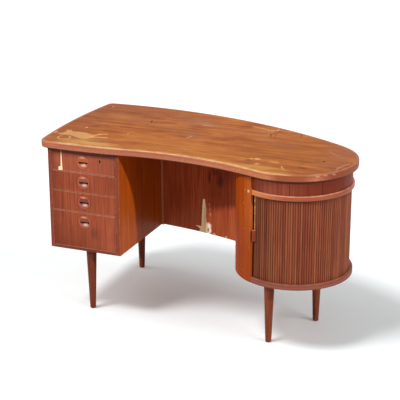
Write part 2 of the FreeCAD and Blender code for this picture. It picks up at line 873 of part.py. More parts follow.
def keyhole(name, y, depth):
    """Round hole with a slot below it, seen from the front."""
    hole = doc.addObject("Part::Cylinder", name + "_round")
    bind(hole, Radius="Sizes.keyhole_radius", Height=depth)
    hole.Placement.Rotation = FreeCAD.Rotation(Vector(1, 0, 0), -90)
    put(hole, "Places.key_x", y, KEY_Z + " + Sizes.key_slot_length / 2")
    slot = board(
        name + "_slot",
        "Places.key_x - Sizes.key_slot_width / 2",
        y,
        KEY_Z + " - Sizes.key_slot_length / 2",
        "Sizes.key_slot_width",
        depth,
        "Sizes.key_slot_length",
    )
    return [hole, slot]


def escutcheon_plate(name, y, depth):
    """Upright plate with round ends."""
    ends = []
    rise = "(Sizes.escutcheon_height - Sizes.escutcheon_width) / 2"
    for end, sign in (("upper", "+"), ("lower", "-")):
        item = doc.addObject("Part::Cylinder", "%s_%s" % (name, end))
        bind(item, Radius="Sizes.escutcheon_width / 2", Height=depth)
        item.Placement.Rotation = FreeCAD.Rotation(Vector(1, 0, 0), -90)
        ends.append(put(item, "Places.key_x", y, "%s %s %s" % (KEY_Z, sign, rise)))
    middle = board(
        name + "_middle",
        "Places.key_x - Sizes.escutcheon_width / 2",
        y,
        "%s - %s" % (KEY_Z, rise),
        "Sizes.escutcheon_width",
        depth,
        "2 * " + rise,
    )
    whole = doc.addObject("Part::MultiFuse", name)
    whole.Shapes = ends + [middle]
    return whole


PLATE_Y = "Places.front_y - Sizes.escutcheon_proud"
case_pocket = lock_box(
    "LockPocket",
    "Sizes.lock_case_width",
    "0",
    CASE_Y,
    "Sizes.lock_case_depth + Sizes.overrun",
    "-Sizes.overrun",
    "Sizes.lock_case_height + Sizes.overrun",
)
plate_pocket = escutcheon_plate(
    "PlatePocket",
    "Places.front_y - Sizes.overrun",
    "Sizes.overrun + Sizes.escutcheon_depth - Sizes.escutcheon_proud",
)
front_hole = keyhole("FrontHole", "Places.front_y", "Sizes.front_thickness")
node(
    cut("Drawer1FrontLocked", locked_front, [case_pocket, plate_pocket] + front_hole),
    "drawer_1_front",
)
plate = escutcheon_plate("Plate", PLATE_Y, "Sizes.escutcheon_depth")
plate_hole = keyhole("PlateHole", PLATE_Y, "Sizes.escutcheon_depth")
node(cut("Escutcheon", plate, plate_hole), "keyhole_escutcheon")
case_block = lock_box(
    "CaseBlock",
    "Sizes.lock_case_width",
    "0",
    CASE_Y,
    "Sizes.lock_case_depth",
    "0",
    "Sizes.lock_case_height",
)
bolt_way = lock_box(
    "BoltWay",
    "Sizes.bolt_width",
    "Sizes.bolt_play",
    BOLT_Y,
    "Sizes.bolt_thickness",
    "-Sizes.overrun",
    "Sizes.overrun + Sizes.bolt_drop + Sizes.bolt_height",
)
case_hole = keyhole("CaseHole", CASE_Y, "(Sizes.lock_case_depth - Sizes.bolt_thickness) / 2")
node(cut("LockCase", case_block, [bolt_way] + case_hole), "lock_case")
node(
    lock_box(
        "LockBolt",
        "Sizes.bolt_width",
        "0",
        BOLT_Y,
        "Sizes.bolt_thickness",
        "Sizes.bolt_drop",
        "Sizes.bolt_height",
    ),
    "lock_bolt",
)

# Modesty panel: bent board concentric with the top's back edge, from the pedestal to the cabinet
LEG_TOP = size("leg_height")
HEIGHT = place("carcass_height")


def on_pedestal(radius):
    """Where an arc about the back's centre meets the pedestal's right face."""
    x = place("pedestal_right")
    return Vector(x, BACK.y + math.sqrt(radius**2 - (x - BACK.x) ** 2), 0)


def on_cabinet(radius):
    """Where an arc about the back's centre meets the cabinet's wall."""
    return meet(BACK, radius, CABINET, place("wall_radius"), 1)


front_radius = place("modesty_radius")
rear_radius = place("modesty_back")
modesty = slab(
    [
        arc(BACK, front_radius, on_pedestal(front_radius), on_cabinet(front_radius)),
        arc(CABINET, place("wall_radius"), on_cabinet(front_radius), on_cabinet(rear_radius)),
        arc(BACK, rear_radius, on_cabinet(rear_radius), on_pedestal(rear_radius)),
        line(on_pedestal(rear_radius), on_pedestal(front_radius)),
    ],
    LEG_TOP,
    HEIGHT,
)
node(shaped("ModestyPanel", modesty), "modesty_panel")
node(
    board(
        "ModestyBatten",
        "Places.pedestal_right",
        "Places.batten_back - Sizes.batten_depth",
        "Sizes.leg_height",
        "Sizes.batten_width",
        "Sizes.batten_depth",
        "Places.carcass_height",
    ),
    "modesty_batten",
)

# Bookcase behind the modesty panel: end panel, partition, bottom and shelves on radial lines
outer_radius = place("carcass_radius")
panel_thickness = size("side_thickness")
end_way = toward(BACK, on_cabinet(rear_radius))
start_way = toward(BACK, on_pedestal(rear_radius))
middle_way = (end_way + start_way).normalize()


def beside(way, offset, radius):
    """A point at a radius, on a line beside a radial one, offset toward the pedestal."""
    across = Vector(-way.y, way.x, 0)
    return BACK + way * math.sqrt(radius**2 - offset**2) + across * offset


def radial_panel(way, near, far, bottom_z, height):
    """Upright panel between two lines beside a radial one."""
    corners = [
        beside(way, near, rear_radius),
        beside(way, near, outer_radius),
        beside(way, far, outer_radius),
        beside(way, far, rear_radius),
    ]
    edges = [
        line(corners[0], corners[1]),
        arc(BACK, outer_radius, corners[1], corners[2]),
        line(corners[2], corners[3]),
        arc(BACK, rear_radius, corners[3], corners[0]),
    ]
    return slab(edges, bottom_z, height)


def bay_board(right, left, setback, bottom_z, height):
    """Board between two bay ends, each given as a function from radius to point."""
    edge_radius = outer_radius - setback
    edges = [
        arc(BACK, rear_radius, right(rear_radius), left(rear_radius)),
        line(left(rear_radius), left(edge_radius)),
        arc(BACK, edge_radius, left(edge_radius), right(edge_radius)),
        line(right(edge_radius), right(rear_radius)),
    ]
    return slab(edges, bottom_z, height)


def end_face(radius):
    return beside(end_way, panel_thickness, radius)


def partition_right(radius):
    return beside(middle_way, -panel_thickness / 2, radius)


def partition_left(radius):
    return beside(middle_way, panel_thickness / 2, radius)


inner_bottom = LEG_TOP + size("shelf_thickness")
inner_height = HEIGHT - size("shelf_thickness")
shelf_z = place("shelf_z")
node(
    shaped("BookcaseEnd", radial_panel(end_way, 0, panel_thickness, LEG_TOP, HEIGHT)),
    "bookcase_end_panel",
)
node(
    shaped(
        "BookcasePartition",
        radial_panel(
            middle_way, -panel_thickness / 2, panel_thickness / 2, inner_bottom, inner_height
        ),
    ),
    "bookcase_partition",
)
node(
    shaped(
        "BookcaseBottom", bay_board(end_face, on_pedestal, 0, LEG_TOP, size("shelf_thickness"))
    ),
    "bookcase_bottom",
)
for name, label, right, left in (
    ("LeftShelf", "bookcase_left_shelf", partition_left, on_pedestal),
    ("RightShelf", "bookcase_right_shelf", end_face, partition_right),
):
    shelf = bay_board(right, left, size("shelf_setback"), shelf_z, size("shelf_thickness"))
    node(shaped(name, shelf), label)
node(
    board(
        "RearShelf",
        "Places.bay_left",
        "Places.modesty_y + Sizes.inner_back_thickness",
        "Places.shelf_z",
        "Places.bay_width",
        "Places.pedestal_back - Places.modesty_y - Sizes.inner_back_thickness - Sizes.shelf_setback",
        "Sizes.shelf_thickness",
    ),
    "pedestal_rear_shelf",
)

# Cleats under the shelves, fixed to the panels beside them
cleat = size("cleat_size")
cleat_z = shelf_z - cleat
cleat_in = rear_radius + size("cleat_setback")
cleat_out = outer_radius - size("cleat_setback")


def radial_cleat(way, near, far):
    corners = [
        beside(way, near, cleat_in),
        beside(way, near, cleat_out),
        beside(way, far, cleat_out),
        beside(way, far, cleat_in),
    ]
    edges = [line(corners[number - 1], corners[number]) for number in range(len(corners))]
    return slab(edges, cleat_z, cleat)


half_panel = panel_thickness / 2
radial_cleats = [
    radial_cleat(middle_way, half_panel, half_panel + cleat),
    radial_cleat(middle_way, -half_panel, -half_panel - cleat),
    radial_cleat(end_way, panel_thickness, panel_thickness + cleat),
]
cleats = [shaped("RadialCleat%d" % count, shape) for count, shape in enumerate(radial_cleats)]


def pedestal_cleat(name, x):
    return board(
        name,
        x,
        "Places.modesty_y + Sizes.inner_back_thickness + Sizes.cleat_setback",
        "Places.shelf_z - Sizes.cleat_size",
        "Sizes.cleat_size",
        "Places.pedestal_back - Places.modesty_y - Sizes.inner_back_thickness"
        " - 2 * Sizes.cleat_setback",
        "Sizes.cleat_size",
    )


cleats.append(pedestal_cleat("BayCleatLeft", "Places.bay_left"))
cleats.append(
    pedestal_cleat("BayCleatRight", "Places.bay_left + Places.bay_width - Sizes.cleat_size")
)
cleats.append(pedestal_cleat("BookcaseCleatLeft", "Places.pedestal_right"))
node(group("ShelfCleats", cleats), "shelf_cleats")


# Round cabinet: half rings on one axis, whose ends lie on a line turned from X
def half_ring(name, inside, outside, z, height, turn="Sizes.cabinet_turn_degrees", sweep="180"):
    rings = []
    for part, radius in (("outside", outside), ("inside", inside)):
        cylinder = doc.addObject("Part::Cylinder", "%s_%s" % (name, part))
        bind(cylinder, Radius=radius, Height=height, Angle="(%s) * 1 deg" % sweep)
        rings.append(put(cylinder, "Places.cabinet_x", "Places.cabinet_y", z, turn))
    return cut(name, rings[0], rings[1:])


FRONT_HALF = "Sizes.cabinet_turn_degrees + 180"


def track_disc(name, groove_low, groove_high, thickness, z):
    """Disc with a ring groove for the tambour, and holes for the leg studs where it is the base."""
    body = doc.addObject("PartDesign::Body", name)
    outline = sketch_on(body, name + "_outline", "XY_Plane")
    circle(outline, "0", "0", "Places.wall_inside")
    pad(body, outline, thickness)
    section = sketch_on(body, name + "_section", "XZ_Plane")
    inside = "Places.canvas_inside - Sizes.track_play"
    outside = "Places.tambour_radius + Sizes.track_play"
    polygon(
        section,
        [
            (inside, groove_low),
            (outside, groove_low),
            (outside, groove_high),
            (inside, groove_high),
        ],
    )
    turned(body, section, "Groove")
    return put(body, "Places.cabinet_x", "Places.cabinet_y", z)


base_disc = track_disc(
    "BaseDisc",
    "Sizes.base_thickness - Sizes.track_depth",
    "Sizes.base_thickness + Sizes.overrun",
    "Sizes.base_thickness",
    "Sizes.leg_height",
)
node(cut("CabinetBase", base_disc, stud_holes[2:]), "cabinet_base")
node(
    half_ring(
        "BaseLip",
        "Places.wall_inside",
        "Sizes.base_radius",
        "Sizes.leg_height",
        "Sizes.base_thickness",
        FRONT_HALF,
    ),
    "cabinet_base_lip",
)

# Screw through the wall into the track board, near the wall's front edge
SCREW_TURN = "Sizes.cabinet_turn_degrees + 180 - Sizes.screw_edge / Places.wall_radius * 180 / pi"
SCREW_Z = "Places.track_board_top - Sizes.screw_drop"


def screw_rod(name, start_radius, length, radius):
    """Round bar lying along a radius of the cabinet, outward from a given radius."""
    item = doc.addObject("Part::Cylinder", name)
    bind(item, Radius=radius, Height=length)
    turn = size("cabinet_turn_degrees") + 180 - math.degrees(size("screw_edge") / place("wall_radius"))
    item.Placement.Rotation = FreeCAD.Rotation(UP, turn).multiply(
        FreeCAD.Rotation(Vector(0, 1, 0), 90)
    )
    angle = "((%s) * 1 deg)" % SCREW_TURN
    return put(
        item,
        "Places.cabinet_x + (%s) * cos%s" % (start_radius, angle),
        "Places.cabinet_y + (%s) * sin%s" % (start_radius, angle),
        SCREW_Z,
    )


SHANK_START = "Places.wall_radius - Sizes.screw_length"
shank = screw_rod("ScrewShank", SHANK_START, "Sizes.screw_length", "Sizes.screw_radius")
head = screw_rod(
    "ScrewHead", "Places.wall_radius", "Sizes.screw_head_height", "Sizes.screw_head_radius"
)
screw_blank = doc.addObject("Part::Fuse", "ScrewBlank")
screw_blank.Base = shank
screw_blank.Tool = head
driver_slot = doc.addObject("Part::Box", "DriverSlot")
bind(
    driver_slot,
    Length="Sizes.screw_head_height",
    Width="2 * Sizes.screw_head_radius",
    Height="Sizes.screw_slot",
)
angle = "((%s) * 1 deg)" % SCREW_TURN
slot_start = "(Places.wall_radius + Sizes.screw_head_height / 2)"
put(
    driver_slot,
    "Places.cabinet_x + %s * cos%s + Sizes.screw_head_radius * sin%s" % (slot_start, angle, angle),
    "Places.cabinet_y + %s * sin%s - Sizes.screw_head_radius * cos%s" % (slot_start, angle, angle),
    SCREW_Z + " - Sizes.screw_slot / 2",
    SCREW_TURN,
)
node(cut("RailScrew", screw_blank, [driver_slot]), "rail_screw")

wall_ring = half_ring(
    "WallRing",
    "Places.wall_inside",
    "Places.wall_radius",
    "Sizes.leg_height",
    "Places.carcass_height",
)
hole_radius = "Sizes.screw_radius + Sizes.stud_fit"
hole_length = "Sizes.screw_length + Sizes.overrun"
wall_hole = screw_rod("WallHole", SHANK_START, hole_length, hole_radius)
node(cut("CabinetWall", wall_ring, [wall_hole]), "cabinet_wall")
track_board = track_disc(
    "TrackDisc",
    "-Sizes.overrun",
    "Sizes.track_depth + 2 * Sizes.track_play",
    "Sizes.track_board_thickness",
    "Places.track_board_under",
)
board_hole = screw_rod("BoardHole", SHANK_START, hole_length, hole_radius)
node(cut("TrackBoard", track_board, [board_hole]), "cabinet_track_board")

rail_ring = half_ring(
    "RailRing",
    "Places.wall_inside",
    "Places.rail_radius",
    "Places.track_board_under",
    "Sizes.track_board_thickness",
    FRONT_HALF,
)
doc.recompute()
nose = [
    number
    for number, edge in enumerate(rail_ring.Shape.Edges, start=1)
    if isinstance(edge.Curve, Part.Circle)
    and edge.Curve.Radius > (place("wall_inside") + place("rail_radius")) / 2
]
rail = doc.addObject("Part::Fillet", "Rail")
rail.Base = rail_ring
rail.Edges = [(number, size("rail_round"), size("rail_round")) for number in nose]
node(rail, "cabinet_rail")
node(
    half_ring(
        "Apron",
        "Places.wall_inside - Sizes.apron_thickness",
        "Places.wall_inside",
        "Places.track_board_top",
        "Sizes.track_board_drop",
        FRONT_HALF,
    ),
    "cabinet_apron",
)

# Inside the cabinet: a flat back clear of the tambour's way, a shelf and the partition under it
axis_angle = math.radians(size("cabinet_turn_degrees"))
axis_way = Vector(math.cos(axis_angle), math.sin(axis_angle), 0)
wall_way = Vector(-axis_way.y, axis_way.x, 0)
clear_radius = place("cabinet_clear")
back_near = size("cabinet_back_offset")
back_far = back_near + size("side_thickness")
back_half = math.sqrt(clear_radius**2 - back_far**2)
base_top = place("base_top")
inner_cabinet = place("track_board_under") - base_top


def cabinet_point(along, across):
    return CABINET + axis_way * along + wall_way * across


def cabinet_block(half, near, far, bottom_z, height):
    corners = [
        cabinet_point(-half, near),
        cabinet_point(half, near),
        cabinet_point(half, far),
        cabinet_point(-half, far),
    ]
    edges = [line(corners[number - 1], corners[number]) for number in range(len(corners))]
    return slab(edges, bottom_z, height)


node(
    shaped("CabinetBack", cabinet_block(back_half, back_near, back_far, base_top, inner_cabinet)),
    "cabinet_back_panel",
)
shelf_half = math.sqrt(clear_radius**2 - back_near**2)
front_point = cabinet_point(0, -clear_radius)
shelf_edges = [
    Part.Arc(
        cabinet_point(-shelf_half, back_near), front_point, cabinet_point(shelf_half, back_near)
    ).toShape(),
    line(cabinet_point(shelf_half, back_near), cabinet_point(-shelf_half, back_near)),
]
node(
    shaped(
        "CabinetShelf",
        slab(shelf_edges, place("cabinet_shelf_z"), size("cabinet_shelf_thickness")),
    ),
    "cabinet_shelf",
)
partition_front = -math.sqrt(clear_radius**2 - half_panel**2)
node(
    shaped(
        "CabinetPartition",
        cabinet_block(
            half_panel,
            partition_front,
            back_near,
            base_top,
            place("cabinet_shelf_z") - base_top,
        ),
    ),
    "cabinet_partition",
)

# Tambour: half-round slats on canvas, a square leading slat and its finger pull
front_edge = axis_angle + math.pi
tambour_radius = place("tambour_radius")
canvas_outside = place("canvas_outside")
lead_start = front_edge + size("lead_slat_gap") / tambour_radius
lead_sweep = size("lead_slat_width") / tambour_radius
slat_sweep = place("slat_pitch") / tambour_radius
slat_start = lead_start + lead_sweep + slat_sweep / 2
tambour_bottom = place("tambour_bottom")
tambour_height = place("tambour_height")


def strip(angle, width, inside, shoulder, outside, bottom_z, height):
    """Upright strip facing outward at an angle, with a round face above its shoulders."""
    way = Vector(math.cos(angle), math.sin(angle), 0)
    across = Vector(-way.y, way.x, 0) * (width / 2)
    foot_left = CABINET + way * inside - across
    foot_right = CABINET + way * inside + across
    left = CABINET + way * shoulder - across
    right = CABINET + way * shoulder + across
    edges = [
        line(foot_left, foot_right),
        line(foot_right, right),
        Part.Arc(right, CABINET + way * outside, left).toShape(),
        line(left, foot_left),
    ]
    return slab(edges, bottom_z, height)


slat_shoulder = canvas_outside + size("slat_shoulder")
slats = [
    strip(
        slat_start + number * slat_sweep,
        size("slat_width"),
        canvas_outside,
        slat_shoulder,
        tambour_radius,
        tambour_bottom,
        tambour_height,
    )
    for number in range(int(place("slat_count")))
]
node(shaped("TambourSlats", Part.makeCompound(slats)), "tambour_slats")
lead_middle = lead_start + lead_sweep / 2
lead_slat = strip(
    lead_middle,
    size("lead_slat_width") - size("slat_gap"),
    canvas_outside,
    tambour_radius - size("canvas_thickness"),
    tambour_radius,
    tambour_bottom,
    tambour_height,
)
node(shaped("LeadSlat", lead_slat), "tambour_lead_slat")
node(
    half_ring(
        "TambourCanvas",
        "Places.canvas_inside",
        "Places.canvas_outside",
        "Places.tambour_bottom + Sizes.canvas_margin",
        "Places.tambour_height - 2 * Sizes.canvas_margin",
        "Sizes.cabinet_turn_degrees + 180 + Sizes.lead_slat_gap / Places.tambour_radius * 180 / pi",
        "Sizes.lead_slat_width / Places.tambour_radius * 180 / pi"
        " + Places.slat_count * Places.slat_pitch / Places.tambour_radius * 180 / pi",
    ),
    "tambour_canvas",
)
grip = strip(
    lead_middle,
    size("tambour_pull_width"),
    tambour_radius,
    tambour_radius + size("tambour_pull_reach") - size("tambour_pull_round"),
    tambour_radius + size("tambour_pull_reach"),
    place("tambour_pull_z"),
    size("tambour_pull_height"),
)
node(shaped("TambourPull", grip), "tambour_pull")

# Every piece is sound before any is written
doc.recompute()
for item in doc.Objects:
    if "Invalid" in item.State or "Error" in item.State:
        raise RuntimeError("%s failed: %s" % (item.Label, item.State))
os.makedirs("parts", exist_ok=True)
for item in nodes:
    if item.Shape.isNull() or not item.Shape.isValid():
        raise RuntimeError("%s has no sound shape" % item.Label)
for item in nodes:
    item.Shape.exportStep("parts/%s.step" % item.Label)
print("%d nodes" % len(nodes))
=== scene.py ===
import json
import math

import bpy
from mathutils import Matrix, Vector


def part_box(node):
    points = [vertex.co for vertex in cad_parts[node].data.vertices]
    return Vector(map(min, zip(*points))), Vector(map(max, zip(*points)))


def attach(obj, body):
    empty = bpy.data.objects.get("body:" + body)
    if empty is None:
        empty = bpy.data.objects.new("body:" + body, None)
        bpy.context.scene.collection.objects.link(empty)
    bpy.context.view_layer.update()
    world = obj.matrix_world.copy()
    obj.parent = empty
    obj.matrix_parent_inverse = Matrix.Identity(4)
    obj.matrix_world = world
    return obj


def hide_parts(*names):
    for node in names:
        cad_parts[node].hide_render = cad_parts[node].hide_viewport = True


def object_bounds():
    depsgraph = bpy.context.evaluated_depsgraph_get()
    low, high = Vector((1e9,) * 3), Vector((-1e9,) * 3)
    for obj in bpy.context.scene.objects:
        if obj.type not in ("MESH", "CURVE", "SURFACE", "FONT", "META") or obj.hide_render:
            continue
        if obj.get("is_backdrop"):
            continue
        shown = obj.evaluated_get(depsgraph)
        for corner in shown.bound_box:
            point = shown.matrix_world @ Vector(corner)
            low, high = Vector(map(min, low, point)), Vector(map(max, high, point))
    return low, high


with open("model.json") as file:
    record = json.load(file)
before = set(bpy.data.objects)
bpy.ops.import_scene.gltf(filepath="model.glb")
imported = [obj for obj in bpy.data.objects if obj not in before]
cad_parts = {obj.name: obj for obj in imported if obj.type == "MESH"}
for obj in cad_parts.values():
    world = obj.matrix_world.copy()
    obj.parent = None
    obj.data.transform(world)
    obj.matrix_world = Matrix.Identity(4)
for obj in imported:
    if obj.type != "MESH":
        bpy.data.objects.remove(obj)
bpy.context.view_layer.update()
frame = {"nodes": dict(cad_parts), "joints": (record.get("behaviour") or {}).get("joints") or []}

# Drawer pedestal: two sides, a bottom, a back and thin rails above and below the drawers.
# Boards veneered in teak with the fibres upright and glued up; solid teak lips their front edges.
nodes = frame["nodes"]
MM = 0.001
# Grain is drawn out this many times along the fibres, and faded areas only a little
GRAIN_STRETCH = 40
FADE_STRETCH = 3
UPRIGHT = (1, 1, GRAIN_STRETCH)
LENGTHWAYS = (GRAIN_STRETCH, 1, 1)
BACKWARDS = (1, GRAIN_STRETCH, 1)
AROUND = (GRAIN_STRETCH, GRAIN_STRETCH, 1)
# Pores are really about 0.3 mm wide, and are drawn coarser so that they show
PORE_MM = 1.1
PORES_FROM, PORES_TO = 0.6, 0.72
PORE_DARKNESS = 0.45
GRAIN_RELIEF_MM = 0.25
# Where the darkest and lightest tones lie in the grain's noise
DARKEST_AT, LIGHTEST_AT = 0.36, 0.64


def linear(code):
    """The linear colour of an sRGB hex code."""
    shares = [int(code[place:place + 2], 16) / 255 for place in (1, 3, 5)]
    return (*[s / 12.92 if s <= 0.04045 else ((s + 0.055) / 1.055) ** 2.4 for s in shares], 1)


def add(tree, kind, inputs=None, **settings):
    """Adds a shader node with its settings; an input takes a number, a colour, a node or its output."""
    node = tree.nodes.new("ShaderNode" + kind)
    for name, value in settings.items():
        setattr(node, name, value)
    for key, value in (inputs or {}).items():
        if isinstance(value, bpy.types.Node):
            value = next(output for output in value.outputs if output.enabled)
        if isinstance(value, bpy.types.NodeSocket):
            tree.links.new(value, node.inputs[key])
        else:
            node.inputs[key].default_value = value
    return node


def teak(
    name,
    run,
    tones,
    band_mm=34,
    line_mm=3.2,
    lines=0.4,
    fade_mm=150,
    fade=0.3,
    seed=0,
    roughness=0.5,
    shine=0.12,
):
    """Oiled wood: faded areas, growth bands, fine grain lines and open pores, drawn out along the fibres.

    The lines and fade values are the shares of the grain lines and of the faded areas in the figure."""
    material = bpy.data.materials.new(name)
    material.use_nodes = True
    tree = material.node_tree
    tree.nodes.clear()
    place = add(tree, "TexCoord", name="Place").outputs["Object"]
    add(tree, "SeparateXYZ", {0: place}, name="Axes")
    add(tree, "SeparateXYZ", {0: add(tree, "NewGeometry").outputs["Normal"]}, name="Facing")
    moved = add(tree, "VectorMath", {0: place, 1: (seed, seed, seed)}, operation="ADD")
    layers = []
    for width, reach, detail, wave in (
        (fade_mm, FADE_STRETCH, 3, 0),
        (band_mm, GRAIN_STRETCH, 3, 0.5),
        (line_mm, GRAIN_STRETCH, 4, 0.15),
        (PORE_MM, GRAIN_STRETCH, 1, 0),
    ):
        scale = [1 / (width * MM * min(stretch, reach)) for stretch in run]
        drawn = add(tree, "VectorMath", {0: moved, 1: scale}, operation="MULTIPLY")
        layer = {"Vector": drawn, "Scale": 1, "Detail": detail, "Distortion": wave}
        layers.append(add(tree, "TexNoise", layer))
    faded, bands, grain, pores = layers
    streaks = add(tree, "Mix", {0: lines, 2: bands.outputs[0], 3: grain.outputs[0]})
    figure = add(tree, "Mix", {0: fade, 2: streaks, 3: faded.outputs[0]})
    tone = add(tree, "ValToRGB", {0: figure})
    stops = tone.color_ramp.elements
    for number, code in enumerate(tones):
        where = DARKEST_AT + (LIGHTEST_AT - DARKEST_AT) * number / (len(tones) - 1)
        stop = stops[number] if number < 2 else stops.new(where)
        stop.position = where
        stop.color = linear(code)
    open_pore = add(tree, "MapRange", {0: pores.outputs[0], 1: PORES_FROM, 2: PORES_TO, 4: PORE_DARKNESS})
    colour = add(tree, "Mix", {0: open_pore, 6: tone, 7: linear(tones[0])}, data_type="RGBA")
    # Pale wood is a little smoother than dark
    gloss = add(tree, "MapRange", {0: figure, 1: 0.35, 2: 0.65, 3: roughness + 0.08, 4: roughness - 0.06})
    relief = add(tree, "Math", {0: grain.outputs[0], 1: open_pore}, operation="SUBTRACT")
    bump = add(tree, "Bump", {"Height": relief, "Strength": 0.35, "Distance": GRAIN_RELIEF_MM * MM})
    finish = add(
        tree,
        "BsdfPrincipled",
        {"Base Color": colour, "Roughness": gloss, "IOR": 1.5, "Specular IOR Level": shine, "Normal": bump},
        name="Finish",
    )
    add(tree, "OutputMaterial", {"Surface": finish})
    return material


def lay(material, mask, code, share, within=None):
    """Lays a worn, stained or bare colour over the finish, by a share, where the mask is 1.

    It stays within a second mask, if one is given."""
    tree = material.node_tree
    finish = tree.nodes["Finish"].inputs["Base Color"]
    if within is not None:
        mask = add(tree, "Math", {0: mask, 1: within}, operation="MULTIPLY")
    part = add(tree, "Math", {0: mask, 1: share}, operation="MULTIPLY")
    over = add(tree, "Mix", {0: part, 6: finish.links[0].from_socket, 7: linear(code)}, data_type="RGBA")
    tree.links.new(over.outputs[2], finish)


def facing(material, axis, start, full):
    """1 where the surface's normal along an axis is past full, and 0 where it is short of the start."""
    tree = material.node_tree
    return add(tree, "MapRange", {0: tree.nodes["Facing"].outputs[axis], 1: start, 2: full})


def belt(material, axis, middle, half, soft):
    """1 within half of a middle along one axis, in millimetres, fading out over the soft margin."""
    tree = material.node_tree
    off = add(tree, "Math", {0: tree.nodes["Axes"].outputs[axis], 1: middle * MM}, operation="SUBTRACT")
    far = add(tree, "Math", {0: off}, operation="ABSOLUTE")
    return add(tree, "MapRange", {0: far, 1: half * MM, 2: (half + soft) * MM, 3: 1, 4: 0})


def broken(material, mask, size_mm, least, most):
    """Breaks a mask up into blotches of a size in millimetres, between its least and most share."""
    tree = material.node_tree
    place = tree.nodes["Place"].outputs["Object"]
    blotch = add(tree, "TexNoise", {"Vector": place, "Scale": 1 / (size_mm * MM), "Detail": 3})
    kept = add(tree, "MapRange", {0: blotch.outputs[0], 1: 0.4, 2: 0.6, 3: least, 4: most})
    return add(tree, "Math", {0: mask, 1: kept}, operation="MULTIPLY")


def dress(material, *names):
    """Gives CAD nodes their finish."""
    for name in names:
        nodes[name].material_slots[0].material = material


# Colour is deepest in joints and in the painted shade close under the top, and palest on the rubbed arrises
ORANGE_TEAK = ("#803204", "#984208", "#AC5212")
RED_TEAK = ("#7E371F", "#91452B", "#A05438")
STILE_TEAK = "#733526"
RUBBED_EDGE = "#CC9A80"
# Near black, for painted shade under the top and for dark joints
SHADE_AND_JOINT_DARK = "#2A100A"
# How far the painted shade under the top reaches down
UNDER_TOP_MM = 20
# Kept from the sun, this veneer has stayed a clear orange, with soft upright lines
SHELTERED_GRAIN = {"band_mm": 24, "line_mm": 5, "lines": 0.55, "seed": 1.7}
veneer_inside = teak("Teak veneer kept from the sun", UPRIGHT, ORANGE_TEAK, **SHELTERED_GRAIN)
stile_teak = teak("Teak side with a solid front lip", UPRIGHT, ORANGE_TEAK, **SHELTERED_GRAIN)
# Sun and air have turned the outer side redder, and hide its figure
veneer_outside = teak("Teak veneer darkened by the sun", UPRIGHT, RED_TEAK, band_mm=24, seed=4.1)
# The lip under the drawers has dark tones as painted shade, and looks like a thin dark line
SHADED_LIP_TONES = ("#5C281C", "#703426", "#834432")
rail_lip = teak("Teak lip under the drawers", LENGTHWAYS, SHADED_LIP_TONES, band_mm=14, seed=2.9)
ARRIS_MM = 0.9
for veneer, side in ((stile_teak, "pedestal_right_side"), (veneer_outside, "pedestal_left_side")):
    in_front = facing(veneer, "Y", start=-0.7, full=-0.9)
    lay(veneer, in_front, STILE_TEAK, 0.9)
    low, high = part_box(side)
    for edge in (low[0] / MM, high[0] / MM):
        arris = belt(veneer, "X", edge, ARRIS_MM, ARRIS_MM)
        rubbed = broken(veneer, arris, size_mm=14, least=0, most=1)
        lay(veneer, rubbed, RUBBED_EDGE, 0.35, within=in_front)
    # Painted shade under the top's overhang darkens the head of each lip's front
    shade = belt(veneer, "Z", high[2] / MM, UNDER_TOP_MM * 0.4, UNDER_TOP_MM * 0.6)
    lay(veneer, shade, SHADE_AND_JOINT_DARK, 0.6, within=in_front)
dress(stile_teak, "pedestal_right_side")
dress(veneer_inside, "pedestal_inner_back", "pedestal_bottom", "pedestal_top_rail")
dress(veneer_outside, "pedestal_left_side")
dress(rail_lip, "pedestal_front_rail")

# Drawers: a veneered front with a turned pull let into it, on a box of beech sides, back and plywood.
# The fronts are cut from one sheet of veneer, so the grain runs on from drawer to drawer.
DRAWERS = ("drawer_1", "drawer_2", "drawer_3", "drawer_4")
BARE_WOOD = "#F0D3A2"
# A mark's half size through a board, large enough to mark the whole face
THROUGH_MM = 9000


def torn(material, tear):
    """Places pushed about by up to about the tear in millimetres, for ragged outlines."""
    tree = material.node_tree
    label = "Torn by %s mm" % tear
    if label not in tree.nodes:
        place = tree.nodes["Place"].outputs["Object"]
        noise = add(tree, "TexNoise", {"Vector": place, "Scale": 1 / (4 * tear * MM), "Detail": 3})
        push = add(
            tree, "VectorMath", {0: noise.outputs["Color"], 1: (0.5, 0.5, 0.5)}, operation="SUBTRACT"
        )
        scaled = add(tree, "VectorMath", {0: push, 1: [4 * tear * MM] * 3}, operation="MULTIPLY")
        add(tree, "VectorMath", {0: place, 1: scaled}, operation="ADD", name=label)
    return tree.nodes[label]


def patch(material, middle, half, tear=2.0, soft=0.2):
    """A torn-edged round patch: 1 within its half sizes of its middle, in millimetres."""
    tree = material.node_tree
    off = add(
        tree,
        "VectorMath",
        {0: torn(material, tear), 1: [value * MM for value in middle]},
        operation="SUBTRACT",
    )
    share = add(tree, "VectorMath", {0: off, 1: [1 / (value * MM) for value in half]}, operation="MULTIPLY")
    far = add(tree, "VectorMath", {0: share}, operation="LENGTH")
    return add(tree, "MapRange", {0: far, 1: 1 - soft, 2: 1 + soft, 3: 1, 4: 0})


def shard(material, plane, corners, tear=0.8, soft=0.5):
    """A torn-edged flat shape given by its corners in millimetres, anticlockwise in a plane such as XZ."""
    tree = material.node_tree
    first, second = ("XYZ".index(letter) for letter in plane)
    depth = None
    for start, end in zip(corners, corners[1:] + corners[:1]):
        run = Vector(end) - Vector(start)
        inward = Vector((-run.y, run.x)).normalized()
        way = [0, 0, 0]
        way[first], way[second] = inward
        along = add(tree, "VectorMath", {0: torn(material, tear), 1: way}, operation="DOT_PRODUCT")
        inside = add(tree, "Math", {0: along, 1: inward.dot(Vector(start)) * MM}, operation="SUBTRACT")
        depth = inside if depth is None else add(tree, "Math", {0: depth, 1: inside}, operation="MINIMUM")
    return add(tree, "MapRange", {0: depth, 1: -soft * MM, 2: soft * MM})


